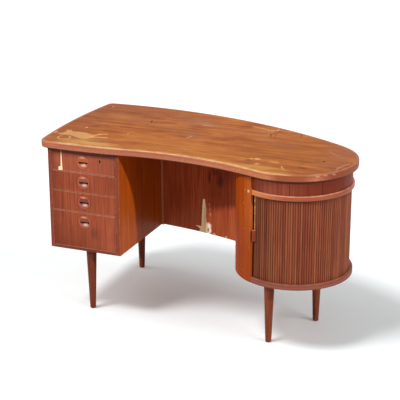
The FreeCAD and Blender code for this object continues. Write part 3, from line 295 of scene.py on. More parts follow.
# Oiled and handled, this veneer looks deep red-brown, with many fine dark lines
FRONT_TONES = ("#6A2A14", "#894027", "#A35439")
front_veneer = teak(
    "Teak veneer of the drawer fronts", UPRIGHT, FRONT_TONES, band_mm=28, line_mm=3.6, lines=0.65, seed=7.3
)
in_front = facing(front_veneer, "Y", start=-0.7, full=-0.9)
front_boxes = [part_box(drawer + "_front") for drawer in DRAWERS]
left, right = front_boxes[0][0][0] / MM, front_boxes[0][1][0] / MM
first_low, first_high = front_boxes[0][0][2] / MM, front_boxes[0][1][2] / MM
top_front = belt(front_veneer, "Z", first_high, first_high - first_low, 1)
lay(front_veneer, top_front, "#9E5440", 0.35)
# Smudges: place and half size across and up, colour and share
SMUDGES = (
    ((-401, 358), (14, 20), "#4E2A26", 0.5),
    ((-561, 300), (30, 12), "#5E2A1C", 0.4),
    ((-345, 300), (60, 26), "#A65A3E", 0.3),
    ((-490, 330), (110, 60), "#6A2C18", 0.4),
    ((-575, 360), (16, 60), "#6E2F1E", 0.35),
    ((-560, 660), (10, 34), "#B4664C", 0.3),
    ((-510, 560), (40, 18), "#7C3420", 0.3),
)
for (x, z), (wide, tall), code, share in SMUDGES:
    smudge = patch(front_veneer, (x, 0, z), (wide, THROUGH_MM, tall), tear=6, soft=0.6)
    lay(front_veneer, smudge, code, share)
last_low = front_boxes[-1][0][2] / MM
# Soiled margins: axis, edge, width and soft margin, and share
SOILED_MARGINS = (("X", left, 6, 50, 0.45), ("X", right, 4, 30, 0.3), ("Z", last_low, 6, 50, 0.4))
for axis, edge, half, soft, share in SOILED_MARGINS:
    margin = belt(front_veneer, axis, edge, half, soft)
    soiled = broken(front_veneer, margin, size_mm=60, least=0.6, most=1)
    lay(front_veneer, soiled, "#5A2212", share)
FRONT_ARRIS_MM = 1.2
for low, high in front_boxes:
    for edge in (low[2] / MM, high[2] / MM):
        arris = belt(front_veneer, "Z", edge, FRONT_ARRIS_MM, FRONT_ARRIS_MM)
        rubbed = broken(front_veneer, arris, size_mm=22, least=0.6, most=1)
        lay(front_veneer, rubbed, RUBBED_EDGE, 0.85, within=in_front)
# The fronts' ends show as thin dark lines
for edge in (left, right):
    lay(front_veneer, belt(front_veneer, "X", edge, half=0.8, soft=1.6), "#6A3026", 0.6)
LOST_VENEER = (
    ((-547, 614), (-538, 614), (-541, 699), (-543.6, 699)),
    ((-557, 614), (-547, 614), (-547, 631), (-556, 628)),
)
for corners in LOST_VENEER:
    lay(front_veneer, shard(front_veneer, "XZ", corners), BARE_WOOD, 0.95, within=in_front)
# Painted shade under the top's overhang, along the head of the top drawer's front
painted_shade_under_top = belt(front_veneer, "Z", first_high, UNDER_TOP_MM * 0.6, UNDER_TOP_MM * 0.6)
lay(front_veneer, painted_shade_under_top, SHADE_AND_JOINT_DARK, 0.68)
for drawer in DRAWERS:
    dress(front_veneer, drawer + "_front")

# The pulls stand one above the other at this pitch
PULL_PITCH_MM = 85.5
PULL_REACH_MM = 30
pull_low, pull_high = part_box("drawer_1_pull")
pull_middle = (pull_low[2] + pull_high[2]) / 2 / MM
pull_face = pull_low[1] / MM
pull_x = (pull_low[0] + pull_high[0]) / 2 / MM
# Turned and polished by fingers, a pull has painted shade round its rim, a paler ring, painted highlights
# at its upper lip and in its scoop, and a black slot of painted shade
pull_teak = teak(
    "Turned teak of the pulls", LENGTHWAYS, ("#6A2A1A", "#7E3A28", "#914A36"), line_mm=2, roughness=0.4
)
tree = pull_teak.node_tree
axes = tree.nodes["Axes"]
height = add(tree, "Math", {0: axes.outputs["Z"], 1: pull_middle * MM}, operation="SUBTRACT")
half_pitch = PULL_PITCH_MM / 2 * MM
repeat = add(tree, "Math", {0: height, 1: half_pitch, 2: -half_pitch}, operation="WRAP")
on_pull = add(tree, "CombineXYZ", {"X": axes.outputs["X"], "Z": repeat})
lay(pull_teak, belt(pull_teak, "Z", pull_middle, PULL_REACH_MM, 2), "#AC5A2C", 0.65)
# Painted shade, tone and highlights on a pull: middle, half size, range and what it gives at each end,
# colour and share
PULL_SHADE_TONE_AND_HIGHLIGHTS = (
    # Painted shade round the rim
    ((0, 0), (27.5, 27.5), (0.93, 0.99, 0, 1), "#4E2016", 0.6),
    # A paler ring inside the rim
    ((0, 0), (24, 24), (0.86, 0.98, 0, 1), "#B0664C", 0.45),
    # Painted highlight along the upper lip
    ((-2, 20), (16, 5), (0.2, 1.1, 1, 0), "#D99A80", 0.7),
    # Painted highlight in the scoop below the slot
    ((2, -14), (14, 6), (0.1, 1.2, 1, 0), "#EBCFC6", 0.75),
)
for (x, z), (wide, tall), (near, far, inside, outside), code, share in PULL_SHADE_TONE_AND_HIGHLIGHTS:
    middle = ((pull_x + x) * MM, 0, z * MM)
    off = add(tree, "VectorMath", {0: on_pull, 1: middle}, operation="SUBTRACT")
    spans = (1 / (wide * MM), 0, 1 / (tall * MM))
    scaled = add(tree, "VectorMath", {0: off, 1: spans}, operation="MULTIPLY")
    reach = add(tree, "VectorMath", {0: scaled}, operation="LENGTH")
    mask = add(tree, "MapRange", {0: reach, 1: near, 2: far, 3: inside, 4: outside})
    lay(pull_teak, mask, code, share)
# The slot is black above its sill and behind the face, where no light comes
SILL_LOW_MM, SILL_HIGH_MM = -9.5, -7
SLOT_MIDDLE_MM, SLOT_HALF_MM, SLOT_SOFT_MM = 30, 24.5, 1.5
slot = add(tree, "MapRange", {0: repeat, 1: SILL_LOW_MM * MM, 2: SILL_HIGH_MM * MM})
deep = belt(pull_teak, "Y", pull_face + SLOT_MIDDLE_MM, SLOT_HALF_MM, SLOT_SOFT_MM)
lay(pull_teak, deep, "#120504", 0.97, within=slot)
for drawer in DRAWERS:
    dress(pull_teak, drawer + "_pull")

# Planed and left bare, beech is pale and dull, with a close straight grain
BEECH_TONES = ("#B98F60", "#CFA977", "#DDBB8C")
beech = teak("Planed beech", BACKWARDS, BEECH_TONES, band_mm=18, line_mm=2, roughness=0.58)
dress(beech, *[drawer + "_sides" for drawer in DRAWERS], "drawer_runners", "shelf_cleats")
beech_back = teak("Planed beech across", LENGTHWAYS, BEECH_TONES, band_mm=18, line_mm=2, roughness=0.58)
dress(beech_back, *[drawer + "_back" for drawer in DRAWERS])
# Peeled birch is paler still, with a broad, faint figure
plywood = teak("Birch plywood", LENGTHWAYS, ("#CDAE7E", "#DABF92", "#E4CDA5"), band_mm=60, line_mm=5)
dress(plywood, *[drawer + "_bottom" for drawer in DRAWERS])

# Lock of the top drawer: a keyhole with a thin brass rim, and a steel case with its bolt behind the front.
# Brass gone dull, its face painted black but for the rim as the shade inside the keyhole; steel pressed and
# left bright.
TARNISH_MM = 4


def metal(name, colour, tarnish, roughness):
    """Old metal: a blotchy tarnish that is duller where it is darker."""
    material = bpy.data.materials.new(name)
    material.use_nodes = True
    tree = material.node_tree
    tree.nodes.clear()
    place = add(tree, "TexCoord", name="Place").outputs["Object"]
    noise = add(tree, "TexNoise", {"Vector": place, "Scale": 1 / (TARNISH_MM * MM), "Detail": 4})
    blotch = noise.outputs[0]
    tone = add(tree, "Mix", {0: blotch, 6: linear(colour), 7: linear(tarnish)}, data_type="RGBA")
    dull = add(tree, "MapRange", {0: blotch, 1: 0.3, 2: 0.7, 3: roughness - 0.1, 4: roughness + 0.1})
    surface = {"Base Color": tone, "Roughness": dull, "Metallic": 1}
    finish = add(tree, "BsdfPrincipled", surface, name="Finish")
    add(tree, "OutputMaterial", {"Surface": finish})
    return material


def stroke(material, start, end, half, tear=0.3, soft=0.4):
    """A scratch or line between two points, 1 within half of it, in millimetres."""
    tree = material.node_tree
    begin, run = (Vector(start) * MM, (Vector(end) - Vector(start)) * MM)
    off = add(tree, "VectorMath", {0: torn(material, tear), 1: begin}, operation="SUBTRACT")
    gone = add(tree, "VectorMath", {0: off, 1: run / run.length_squared}, operation="DOT_PRODUCT")
    kept = add(tree, "Math", {0: gone, 1: 1}, operation="MULTIPLY", use_clamp=True)
    nearest = add(tree, "VectorMath", {0: run, "Scale": kept}, operation="SCALE")
    far = add(tree, "VectorMath", {0: off, 1: nearest}, operation="DISTANCE")
    return add(tree, "MapRange", {0: far, 1: half * MM * (1 - soft), 2: half * MM * (1 + soft), 3: 1, 4: 0})


# Dull brass is pale and blotchy, handled brass is browner, and steel is a soft grey
brass = metal("Dulled brass", "#EBD3B2", "#B4946E", 0.4)
key_brass = metal("Handled brass", "#DDB490", "#8A5C40", 0.4)
steel = metal("Bright steel", "#C9CACB", "#8F8F90", 0.35)
key_low, key_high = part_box("keyhole_escutcheon")
key_x, key_y = (key_low[0] + key_high[0]) / 2 / MM, key_low[1] / MM
key_half = (key_high[0] - key_low[0]) / 2 / MM
# The escutcheon's face is painted black but for its rim, as the shade inside the keyhole
KEYHOLE_SHADE_SHARE = 0.86
painted_keyhole_shade = stroke(
    key_brass,
    (key_x, key_y, key_low[2] / MM + key_half),
    (key_x, key_y, key_high[2] / MM - key_half),
    half=KEYHOLE_SHADE_SHARE * key_half,
    tear=0.4,
    soft=0.12,
)
lay(key_brass, painted_keyhole_shade, "#100804", 0.97)
dress(brass, "rail_screw")
dress(key_brass, "keyhole_escutcheon")
dress(steel, "lock_case", "lock_bolt", "leg_studs")

# Modesty panel: one curved board between the pedestal and the round cabinet, veneered with upright grain.
# A thin solid batten covers its joint with the pedestal; a strip of its veneer is lost by the floor edge.
# Oiled veneer in the shade of the top: lined like the fronts, and pale where the core shows
MODESTY_TONES = ("#742608", "#98401F", "#B25634")
modesty_veneer = teak(
    "Teak veneer of the modesty panel",
    UPRIGHT,
    MODESTY_TONES,
    band_mm=22,
    line_mm=3.6,
    lines=0.65,
    seed=9.6,
)
modesty_front = facing(modesty_veneer, "Y", start=-0.3, full=-0.5)
modesty_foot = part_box("modesty_panel")[0][2] / MM
# Stains and chips: place and half size across and up, tear, colour and share
MODESTY_STAINS = (
    ((-45, 528), (5, 26), 2, "#2E0E0A", 0.75),
    ((10, 521), (15, 24), 4, "#3A1418", 0.6),
    ((-18, 556), (22, 12), 4, "#4A1A14", 0.45),
    ((20, 600), (40, 90), 8, "#4A1A10", 0.4),
    ((-46, 407), (3, 7), 1, "#C98A68", 0.7),
    ((-44, 388), (2.5, 8), 1, "#C98A68", 0.6),
    ((-41, 364), (3, 7), 1, "#C98A68", 0.6),
    ((-49, 310), (12, 12), 3, "#FFF4E0", 0.97),
    ((-42, 290), (6, 9), 2, "#FFF4E0", 0.97),
    ((-51, 277), (9, 7), 2, "#FFF4E0", 0.97),
    ((-20, 279), (6, 4), 1, "#E0B48C", 0.7),
    ((40, 280), (4, 4), 1, "#E8C49C", 0.8),
)
for (x, z), (wide, tall), tear, code, share in MODESTY_STAINS:
    spot = patch(modesty_veneer, (x, 0, z), (wide, THROUGH_MM, tall), tear, soft=0.4)
    lay(modesty_veneer, spot, code, share, within=modesty_front)
LOST_STRIP = (
    ((-84, 352), (-63, 352), (-62, 385), (-69, 426), (-79, 424)),
    ((-86, 299), (-57, 302), (-64, 352), (-84, 352)),
    ((-99, modesty_foot), (-55, modesty_foot), (-56, 303), (-86, 300)),
    ((-115, 299), (-88, 285), (-84, 302)),
)
for corners in LOST_STRIP:
    loss = shard(modesty_veneer, "XZ", corners, tear=1.6, soft=0.8)
    lay(modesty_veneer, loss, "#FFE6B8", 0.97, within=modesty_front)
# A browner streak stands in the bare strip
BROWN_STREAK = ((-68, 0, 345), (4, THROUGH_MM, 60))
streak = patch(modesty_veneer, *BROWN_STREAK, tear=2, soft=0.5)
lay(modesty_veneer, streak, "#B08050", 0.6, within=modesty_front)
# Painted light makes the panel paler towards its foot, and painted shade darker under the top
modesty_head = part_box("modesty_panel")[1][2] / MM
LIT_AND_SHADED_ENDS = ((modesty_foot, 60, 110, "#A85630", 0.25), (modesty_head, 40, 130, "#3A120A", 0.45))
for end, half, soft, code, share in LIT_AND_SHADED_ENDS:
    lay(modesty_veneer, belt(modesty_veneer, "Z", end, half, soft), code, share)
dress(modesty_veneer, "modesty_panel")
# A planed strip of solid wood, paler than the panel beside it
batten_teak = teak("Solid teak batten", UPRIGHT, ("#8A4A2E", "#A5603F", "#B87450"), band_mm=12, line_mm=2)
dress(batten_teak, "modesty_batten")

# Bookcase on the far side: a bottom, an end panel, a partition and shelves on beech cleats.
# Veneered boards; the flat ones have their grain along the desk and a rubbed lip at the back.
# Oiled veneer open to the room: an even red-brown, paler on the rubbed lips
shelf_veneer = teak("Teak veneer of the shelves", LENGTHWAYS, RED_TEAK, seed=2.2)
upright_veneer = teak("Teak veneer of the uprights", UPRIGHT, RED_TEAK, band_mm=24, seed=5.5)
for veneer in (shelf_veneer, upright_veneer):
    rubbed = broken(veneer, facing(veneer, "Y", start=0.6, full=0.9), size_mm=40, least=0.5, most=1)
    lay(veneer, rubbed, "#A9644A", 0.6)
dress(upright_veneer, "bookcase_end_panel", "bookcase_partition")
dress(shelf_veneer, "bookcase_bottom", "bookcase_left_shelf", "bookcase_right_shelf", "pedestal_rear_shelf")

# Round cabinet: a disc below and above, a fixed half-round wall, an apron and a rounded rail.
# Bent plywood veneered in teak; the lip and rail are solid teak steamed and bent round.
turn_joint = next(joint for joint in frame["joints"] if joint["name"] == "tambour_turn")
axis_x, axis_y = (value / MM for value in turn_joint["pos_m"][:2])


def ring_range(name):
    """A node's least and greatest angle and distance about the round cabinet's axis."""
    places = [nodes[name].matrix_world @ vertex.co for vertex in nodes[name].data.vertices]
    offsets = [(place.x - axis_x * MM, place.y - axis_y * MM) for place in places]
    angles = [math.atan2(y, x) for x, y in offsets]
    distances = [math.hypot(x, y) for x, y in offsets]
    return min(angles), max(angles), min(distances), max(distances)


def round_place(radius, degrees, z):
    """A place on the round cabinet, in millimetres."""
    angle = math.radians(degrees)
    return axis_x + radius * math.cos(angle), axis_y + radius * math.sin(angle), z


wall_low, wall_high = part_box("cabinet_wall")
lead_start, lead_end = ring_range("tambour_lead_slat")[:2]
# Bent veneer with its oil dried out: a flat orange with soft lines and hardly any shine
DRUM_TONES = ("#742602", "#983E07", "#B45618")
drum_veneer = teak(
    "Teak veneer of the round wall", UPRIGHT, DRUM_TONES, band_mm=34, line_mm=5, lines=0.5, shine=0.05
)
WALL_CLEARANCE_DEGREES = 0.8
WALL_RADIUS_MM = 234
APRON_RADIUS_MM = 222
wall_edge_degrees = math.degrees(lead_start) - WALL_CLEARANCE_DEGREES
# Pale specks where the veneer is chipped: degrees round the axis and height
SPECK_MM = 2.4
WALL_SPECKS = ((-130.2, 587), (-130.8, 309), (-118.7, 568), (-127.7, 644), (-127.9, 486), (-121, 416))
for degrees, z in WALL_SPECKS:
    spot = round_place(WALL_RADIUS_MM, degrees, z)
    speck = patch(drum_veneer, spot, (SPECK_MM, SPECK_MM, SPECK_MM), tear=1, soft=0.5)
    lay(drum_veneer, speck, "#D89C78", 0.7)
wall_foot = round_place(WALL_RADIUS_MM, wall_edge_degrees, wall_low[2] / MM)
wall_head = round_place(WALL_RADIUS_MM, wall_edge_degrees, wall_high[2] / MM)
# A pale line down the wall's free edge: partly chipped veneer, partly painted highlight on the arris
wall_edge = stroke(drum_veneer, wall_foot, wall_head, half=4.5, tear=1.2, soft=0.6)
chipped_and_highlit_edge = broken(drum_veneer, wall_edge, size_mm=30, least=0.1, most=1)
lay(drum_veneer, chipped_and_highlit_edge, "#BC7048", 0.5)
handled_strip = stroke(drum_veneer, wall_foot, wall_head, half=26, tear=2, soft=0.6)
lay(drum_veneer, handled_strip, "#B4602C", 0.4)
darker_foot = belt(drum_veneer, "Z", wall_low[2] / MM, half=120, soft=160)
lay(drum_veneer, darker_foot, "#7A2A04", 0.5)
# Painted shade under the top's overhang
painted_shade_under_top = belt(drum_veneer, "Z", wall_high[2] / MM, UNDER_TOP_MM * 0.4, UNDER_TOP_MM)
lay(drum_veneer, painted_shade_under_top, SHADE_AND_JOINT_DARK, 0.55)
dress(drum_veneer, "cabinet_wall")
# Bent veneer close under the top: dark red-brown, with dark joints between its sheets
APRON_TONES = ("#5E2414", "#783622", "#904832")
apron_veneer = teak("Teak veneer of the apron", UPRIGHT, APRON_TONES, band_mm=26, line_mm=4, lines=0.5)
apron_low, apron_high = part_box("cabinet_apron")
# It turns darker towards the right, between these places along X
DARKER_FROM_MM, DARKER_TO_MM = 460, 580
tree = apron_veneer.node_tree
along = tree.nodes["Axes"].outputs["X"]
darker_right = add(tree, "MapRange", {0: along, 1: DARKER_FROM_MM * MM, 2: DARKER_TO_MM * MM})
lay(apron_veneer, darker_right, "#641E08", 0.8)
SHEET_JOINTS_DEGREES = (-78.1, -45.4)
for degrees in SHEET_JOINTS_DEGREES:
    joint_foot = round_place(APRON_RADIUS_MM, degrees, apron_low[2] / MM)
    joint_head = round_place(APRON_RADIUS_MM, degrees, apron_high[2] / MM)
    lay(apron_veneer, stroke(apron_veneer, joint_foot, joint_head, half=1.8), SHADE_AND_JOINT_DARK, 0.75)
# Painted shade close under the top: a dark line, and a wider soft fall-off below it
UNDER_TOP_BELTS = ((5, 5, SHADE_AND_JOINT_DARK, 0.5), (8, 34, "#5A1E0E", 0.45))
for half, soft, code, share in UNDER_TOP_BELTS:
    lay(apron_veneer, belt(apron_veneer, "Z", apron_high[2] / MM, half, soft), code, share)
dress(apron_veneer, "cabinet_apron")
dress(veneer_inside, "cabinet_back_panel", "cabinet_partition")
dress(shelf_veneer, "cabinet_shelf", "cabinet_base", "cabinet_track_board")
# Solid wood rubbed by feet and hands: dull sides, and a paler upper arris
lip_teak = teak("Bent teak lip", AROUND, ("#6C382C", "#80483A", "#94594A"), band_mm=10, line_mm=2.4)
rubbed_lip = broken(lip_teak, facing(lip_teak, "Z", start=0.6, full=0.9), size_mm=30, least=0.4, most=1)
lay(lip_teak, rubbed_lip, "#B8806A", 0.6)
dress(lip_teak, "cabinet_base_lip")
# Rounded and polished by sleeves, the rail is a little glossy, with a painted highlight along its upper
# side
RAIL_TONES = ("#7C3A26", "#944A32", "#AC6246")
rail_teak = teak("Bent teak rail", AROUND, RAIL_TONES, band_mm=10, line_mm=3, roughness=0.36)
rail_top_highlight = broken(rail_teak, facing(rail_teak, "Z", start=0.3, full=0.8), size_mm=26, least=0.5, most=1)
lay(rail_teak, rail_top_highlight, "#D69E84", 0.75)
# By the wall's end the rail is more golden
RAIL_END_X_MM = 270
near_wall = belt(rail_teak, "X", RAIL_END_X_MM, half=60, soft=110)
lay(rail_teak, near_wall, "#CC7C48", 0.75)
dress(rail_teak, "cabinet_rail")

# Tambour: narrow slats glued to canvas, led by a wider slat with a small finger pull.
# Slats are ripped from different boards, so each is a shade of its own; oil darkens the gaps.
SLAT_PITCH_DEGREES = 2.501
# The range of brightness and of hue between slats, and how many darken towards the leading one
DARKEST_SLAT, LIGHTEST_SLAT = 0.76, 1.16
COOLEST_SLAT, WARMEST_SLAT = 0.493, 0.506
DARKENED_SLATS = 22


def about_axis(tree, place):
    """A place split along the axes, and its angle, both about the round cabinet's axis."""
    off_axis = add(tree, "VectorMath", {0: place, 1: (axis_x * MM, axis_y * MM, 0)}, operation="SUBTRACT")
    across = add(tree, "SeparateXYZ", {0: off_axis})
    angle = add(tree, "Math", {0: across.outputs["Y"], 1: across.outputs["X"]}, operation="ARCTAN2")
    return across, angle


# Narrow ripped strips of many tones, with fine lines and a soft shine
slat_teak = teak(
    "Teak slats", UPRIGHT, ("#6A3320", "#84452C", "#99593A"), band_mm=9, line_mm=2.2, lines=0.6, fade=0.2
)
tree = slat_teak.node_tree
round_angle = about_axis(tree, tree.nodes["Place"].outputs["Object"])[1]
pitch = math.radians(SLAT_PITCH_DEGREES)
count = add(tree, "MapRange", {0: round_angle, 1: lead_end, 2: lead_end + pitch}, clamp=False)
number = add(tree, "Math", {0: count}, operation="FLOOR")
chance = add(tree, "TexWhiteNoise", {"W": number}, noise_dimensions="1D")
shade = add(tree, "MapRange", {0: chance.outputs["Value"], 3: DARKEST_SLAT, 4: LIGHTEST_SLAT})
warmth = add(tree, "MapRange", {0: chance.outputs["Value"], 3: COOLEST_SLAT, 4: WARMEST_SLAT})
base = tree.nodes["Finish"].inputs["Base Color"]
boards = add(tree, "HueSaturation", {"Hue": warmth, "Value": shade, "Color": base.links[0].from_socket})
tree.links.new(boards.outputs[0], base)
darker = add(tree, "MapRange", {0: count, 1: 0, 2: DARKENED_SLATS, 3: 1, 4: 0})
lay(slat_teak, darker, "#4A2014", 0.35)
slats_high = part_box("tambour_slats")[1][2] / MM
# Painted shade under the rail darkens the slats' heads
lay(slat_teak, belt(slat_teak, "Z", slats_high, half=6, soft=26), SHADE_AND_JOINT_DARK, 0.5)
dress(slat_teak, "tambour_slats")
# Hands have darkened the leading slat, and worn the upper part of its edge to bare wood
lead_teak = teak("Teak leading slat", UPRIGHT, ("#4E281A", "#6A3A26", "#7E4C36"), band_mm=9, line_mm=2)
lead_low, lead_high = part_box("tambour_lead_slat")
lead_out = ring_range("tambour_lead_slat")[3] / MM
LEAD_EDGE_DEGREES = 0.8
WORN_FROM_MM = 185
lead_edge = math.degrees(lead_start) + LEAD_EDGE_DEGREES
worn_foot = round_place(lead_out, lead_edge, lead_low[2] / MM + WORN_FROM_MM)
worn_head = round_place(lead_out, lead_edge, lead_high[2] / MM)
worn_lead = stroke(lead_teak, worn_foot, worn_head, half=3.4, tear=1.5, soft=0.5)
bare_lead = broken(lead_teak, worn_lead, size_mm=16, least=0.2, most=1)
lay(lead_teak, bare_lead, "#CFA266", 0.8)
dress(lead_teak, "tambour_lead_slat")
# A small block shaped by hand, dark with grease below and rubbed pale on top
knob_teak = teak("Shaped teak of the finger pull", UPRIGHT, ("#5E2412", "#7A3420", "#904630"), line_mm=2)
lay(knob_teak, facing(knob_teak, "Z", start=0.5, full=0.9), "#C98E72", 0.7)
dress(knob_teak, "tambour_pull")

# Canvas of the tambour: one plain-woven cotton cloth, stretched round and glued to the slats' backs.
# It is cut a little shorter than the slats, and dips slightly between them.
# Threads really lie about 0.6 mm apart, and are drawn coarser so that the weave shows
THREAD_MM = 1.6
WEAVE_RELIEF_MM = 0.3
SOIL_MM = 40
# The cloth fills this share of the CAD sheet's thickness
CLOTH_SHARE = 0.6
STEPS_PER_SLAT = 4
CANVAS_ROWS = 24
DIP_MM = 0.25
canvas_start, canvas_end, canvas_inside, canvas_outside = ring_range("tambour_canvas")
canvas_radius = (canvas_inside + canvas_outside) / 2
canvas_thick = canvas_outside - canvas_inside
canvas_low, canvas_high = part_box("tambour_canvas")
canvas_length = canvas_high[2] - canvas_low[2]
columns = round((canvas_end - canvas_start) / pitch * STEPS_PER_SLAT)
points = []
for column in range(columns + 1):
    angle = canvas_start + (canvas_end - canvas_start) * column / columns
    reach = canvas_radius - DIP_MM * MM * math.cos(math.pi * (angle - lead_end) / pitch) ** 2
    for row in range(CANVAS_ROWS + 1):
        z = canvas_low[2] + canvas_length * row / CANVAS_ROWS
        points.append((axis_x * MM + reach * math.cos(angle), axis_y * MM + reach * math.sin(angle), z))
faces = []
for column in range(columns):
    for row in range(CANVAS_ROWS):
        corner = column * (CANVAS_ROWS + 1) + row
        faces.append((corner, corner + CANVAS_ROWS + 1, corner + CANVAS_ROWS + 2, corner + 1))
mesh = bpy.data.meshes.new("tambour_canvas_cloth")
mesh.from_pydata(points, [], faces)
mesh.shade_smooth()
canvas = bpy.data.objects.new("tambour_canvas_cloth", mesh)
bpy.context.scene.collection.objects.link(canvas)
thickness = canvas.modifiers.new("Cloth thickness", "SOLIDIFY")
thickness.thickness = CLOTH_SHARE * canvas_thick
thickness.offset = 0
# Unbleached cotton with a plain weave: a dull chequer of threads, soiled in patches
cotton = bpy.data.materials.new("Plain-woven cotton canvas")
cotton.use_nodes = True
tree = cotton.node_tree
tree.nodes.clear()
place = add(tree, "TexCoord").outputs["Object"]
across, round_angle = about_axis(tree, place)
threads = []
for way, spacing in ((round_angle, THREAD_MM * MM / canvas_radius), (across.outputs["Z"], THREAD_MM * MM)):
    counted = add(tree, "Math", {0: way, 1: math.pi / spacing}, operation="MULTIPLY")
    threads.append(add(tree, "Math", {0: counted}, operation="SINE"))
weave = add(tree, "Math", {0: threads[0], 1: threads[1]}, operation="MULTIPLY")
soil = add(tree, "TexNoise", {"Vector": place, "Scale": 1 / (SOIL_MM * MM), "Detail": 4})
CLEAN_COTTON, SOILED_COTTON, GAP_COTTON = (linear(code) for code in ("#C2AF8A", "#8F7C5A", "#5E5038"))
cloth_tone = add(tree, "Mix", {0: soil.outputs[0], 6: CLEAN_COTTON, 7: SOILED_COTTON}, data_type="RGBA")
shaded = add(tree, "MapRange", {0: weave, 1: -1, 2: 1, 3: 0, 4: 0.45})
woven = add(tree, "Mix", {0: shaded, 6: cloth_tone, 7: GAP_COTTON}, data_type="RGBA")
bump = add(tree, "Bump", {"Height": weave, "Strength": 0.6, "Distance": WEAVE_RELIEF_MM * MM})
cloth = add(
    tree, "BsdfPrincipled", {"Base Color": woven, "Roughness": 0.9, "Normal": bump, "Sheen Weight": 0.2}
)
add(tree, "OutputMaterial", {"Surface": cloth})
mesh.materials.append(cotton)
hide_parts("tambour_canvas")
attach(canvas, "tambour")

# Top: a board veneered with the grain along the desk, and a solid lipping round its edge.
# The oil is worn to golden wood along the front, with stains, a bare patch, a cup's ring and scratches.
top_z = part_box("top_panel")[1][2] / MM
# Old oil worn through on long grain: brown and gold streaks with hardly any shine
top_veneer = teak(
    "Worn teak veneer of the top",
    LENGTHWAYS,
    ("#7E3F1C", "#A85A20", "#C67C2C"),
    band_mm=44,
    line_mm=13,
    lines=0.45,
    fade_mm=36,
    fade=0.38,
    seed=3.3,
    roughness=0.5,
    shine=0.05,
)
# The front edge's three arcs: centre, radius and which side is wood; each starts where the last one ends
FRONT_ARCS = (
    ((-479.1, 1503.5), 1808, -1),
    ((-97.0, -1451.9), 1172, 1),
    ((402.5, -120.5), 250, -1),
)
ARC_STARTS = (-247.8, 316.1)
tree = top_veneer.node_tree
place = tree.nodes["Place"].outputs["Object"]
from_edge = None
for number, ((x, y), radius, side) in enumerate(FRONT_ARCS):
    far = add(tree, "VectorMath", {0: place, 1: (x * MM, y * MM, top_z * MM)}, operation="DISTANCE")
    gap = add(tree, "Math", {0: far, 1: radius * MM}, operation="SUBTRACT")
    inward = add(tree, "Math", {0: gap, 1: side}, operation="MULTIPLY")
    if from_edge is None:
        from_edge = inward
    else:
        along, arc_start = tree.nodes["Axes"].outputs["X"], ARC_STARTS[number - 1]
        passed = add(tree, "Math", {0: along, 1: arc_start * MM}, operation="GREATER_THAN")
        from_edge = add(tree, "Mix", {0: passed, 2: from_edge, 3: inward})
# Wear comes in blotches that are long along the grain
WEAR_LONG_MM, WEAR_DEEP_MM = 90, 26
wear_scale = (1 / (WEAR_LONG_MM * MM), 1 / (WEAR_DEEP_MM * MM), 0)
worn_along = add(tree, "VectorMath", {0: place, 1: wear_scale}, operation="MULTIPLY")
worn = add(tree, "TexNoise", {"Vector": worn_along, "Scale": 1, "Detail": 4})
# Faded and darker areas: place and half size along X and Y, tear, colour and share
MARK_DEPTH_MM = 90
SUN_PATCHES = (
    ((-600, 150), (110, 260), 20, "#8A4626", 0.6),
    ((-420, 280), (220, 80), 20, "#8A462A", 0.65),
    ((-330, 130), (110, 34), 14, "#8A4E38", 0.5),
    ((-125, 200), (80, 40), 14, "#94685A", 0.5),
    ((-100, 0), (70, 20), 10, "#946450", 0.45),
    ((-160, 60), (110, 16), 10, "#8C5440", 0.4),
    ((120, 130), (140, 40), 14, "#A4603A", 0.5),
    ((296, 20), (80, 16), 8, "#946858", 0.45),
    ((350, 110), (120, 30), 14, "#9A542C", 0.45),
    ((580, -20), (80, 150), 20, "#96604C", 0.5),
    ((585, -215), (60, 22), 10, "#74402F", 0.5),
    ((-560, -220), (60, 70), 14, "#8A5236", 0.45),
    ((-170, -120), (170, 46), 20, "#C27834", 0.45),
    ((60, -170), (190, 44), 20, "#BE7636", 0.45),
    ((400, -60), (190, 110), 24, "#985420", 0.5),
    ((-480, 180), (60, 30), 14, "#B07038", 0.45),
    ((-500, 40), (60, 26), 14, "#B07440", 0.4),
)
for (x, y), (wide, deep_mm), tear, code, share in SUN_PATCHES:
    area = patch(top_veneer, (x, y, top_z), (wide, deep_mm, MARK_DEPTH_MM), tear, soft=0.7)
    lay(top_veneer, area, code, share)
# The worn front lies within these belts along X and Y: middle, half size and soft margin
WORN_X = (-50, 470, 60)
WORN_Y = (-500, 340, 90)
within_x, within_y = belt(top_veneer, "X", *WORN_X), belt(top_veneer, "Y", *WORN_Y)
stretch = add(tree, "Math", {0: within_x, 1: within_y}, operation="MULTIPLY")
# Worn bands: how far they reach from the edge, how much the blotches take off, colour and share
WORN_BANDS = ((80, 70, "#C67E32", 0.55), (30, 36, "#E2AA68", 0.85))
for reach, noise_reach, code, share in WORN_BANDS:
    spread = add(tree, "MapRange", {0: worn.outputs[0], 1: 0.3, 2: 0.7, 3: 0, 4: noise_reach * MM})
    ragged = add(tree, "Math", {0: from_edge, 1: spread}, operation="ADD")
    band = add(tree, "MapRange", {0: ragged, 1: reach * 0.5 * MM, 2: reach * 1.5 * MM, 3: 1, 4: 0})
    lay(top_veneer, band, code, share, within=stretch)
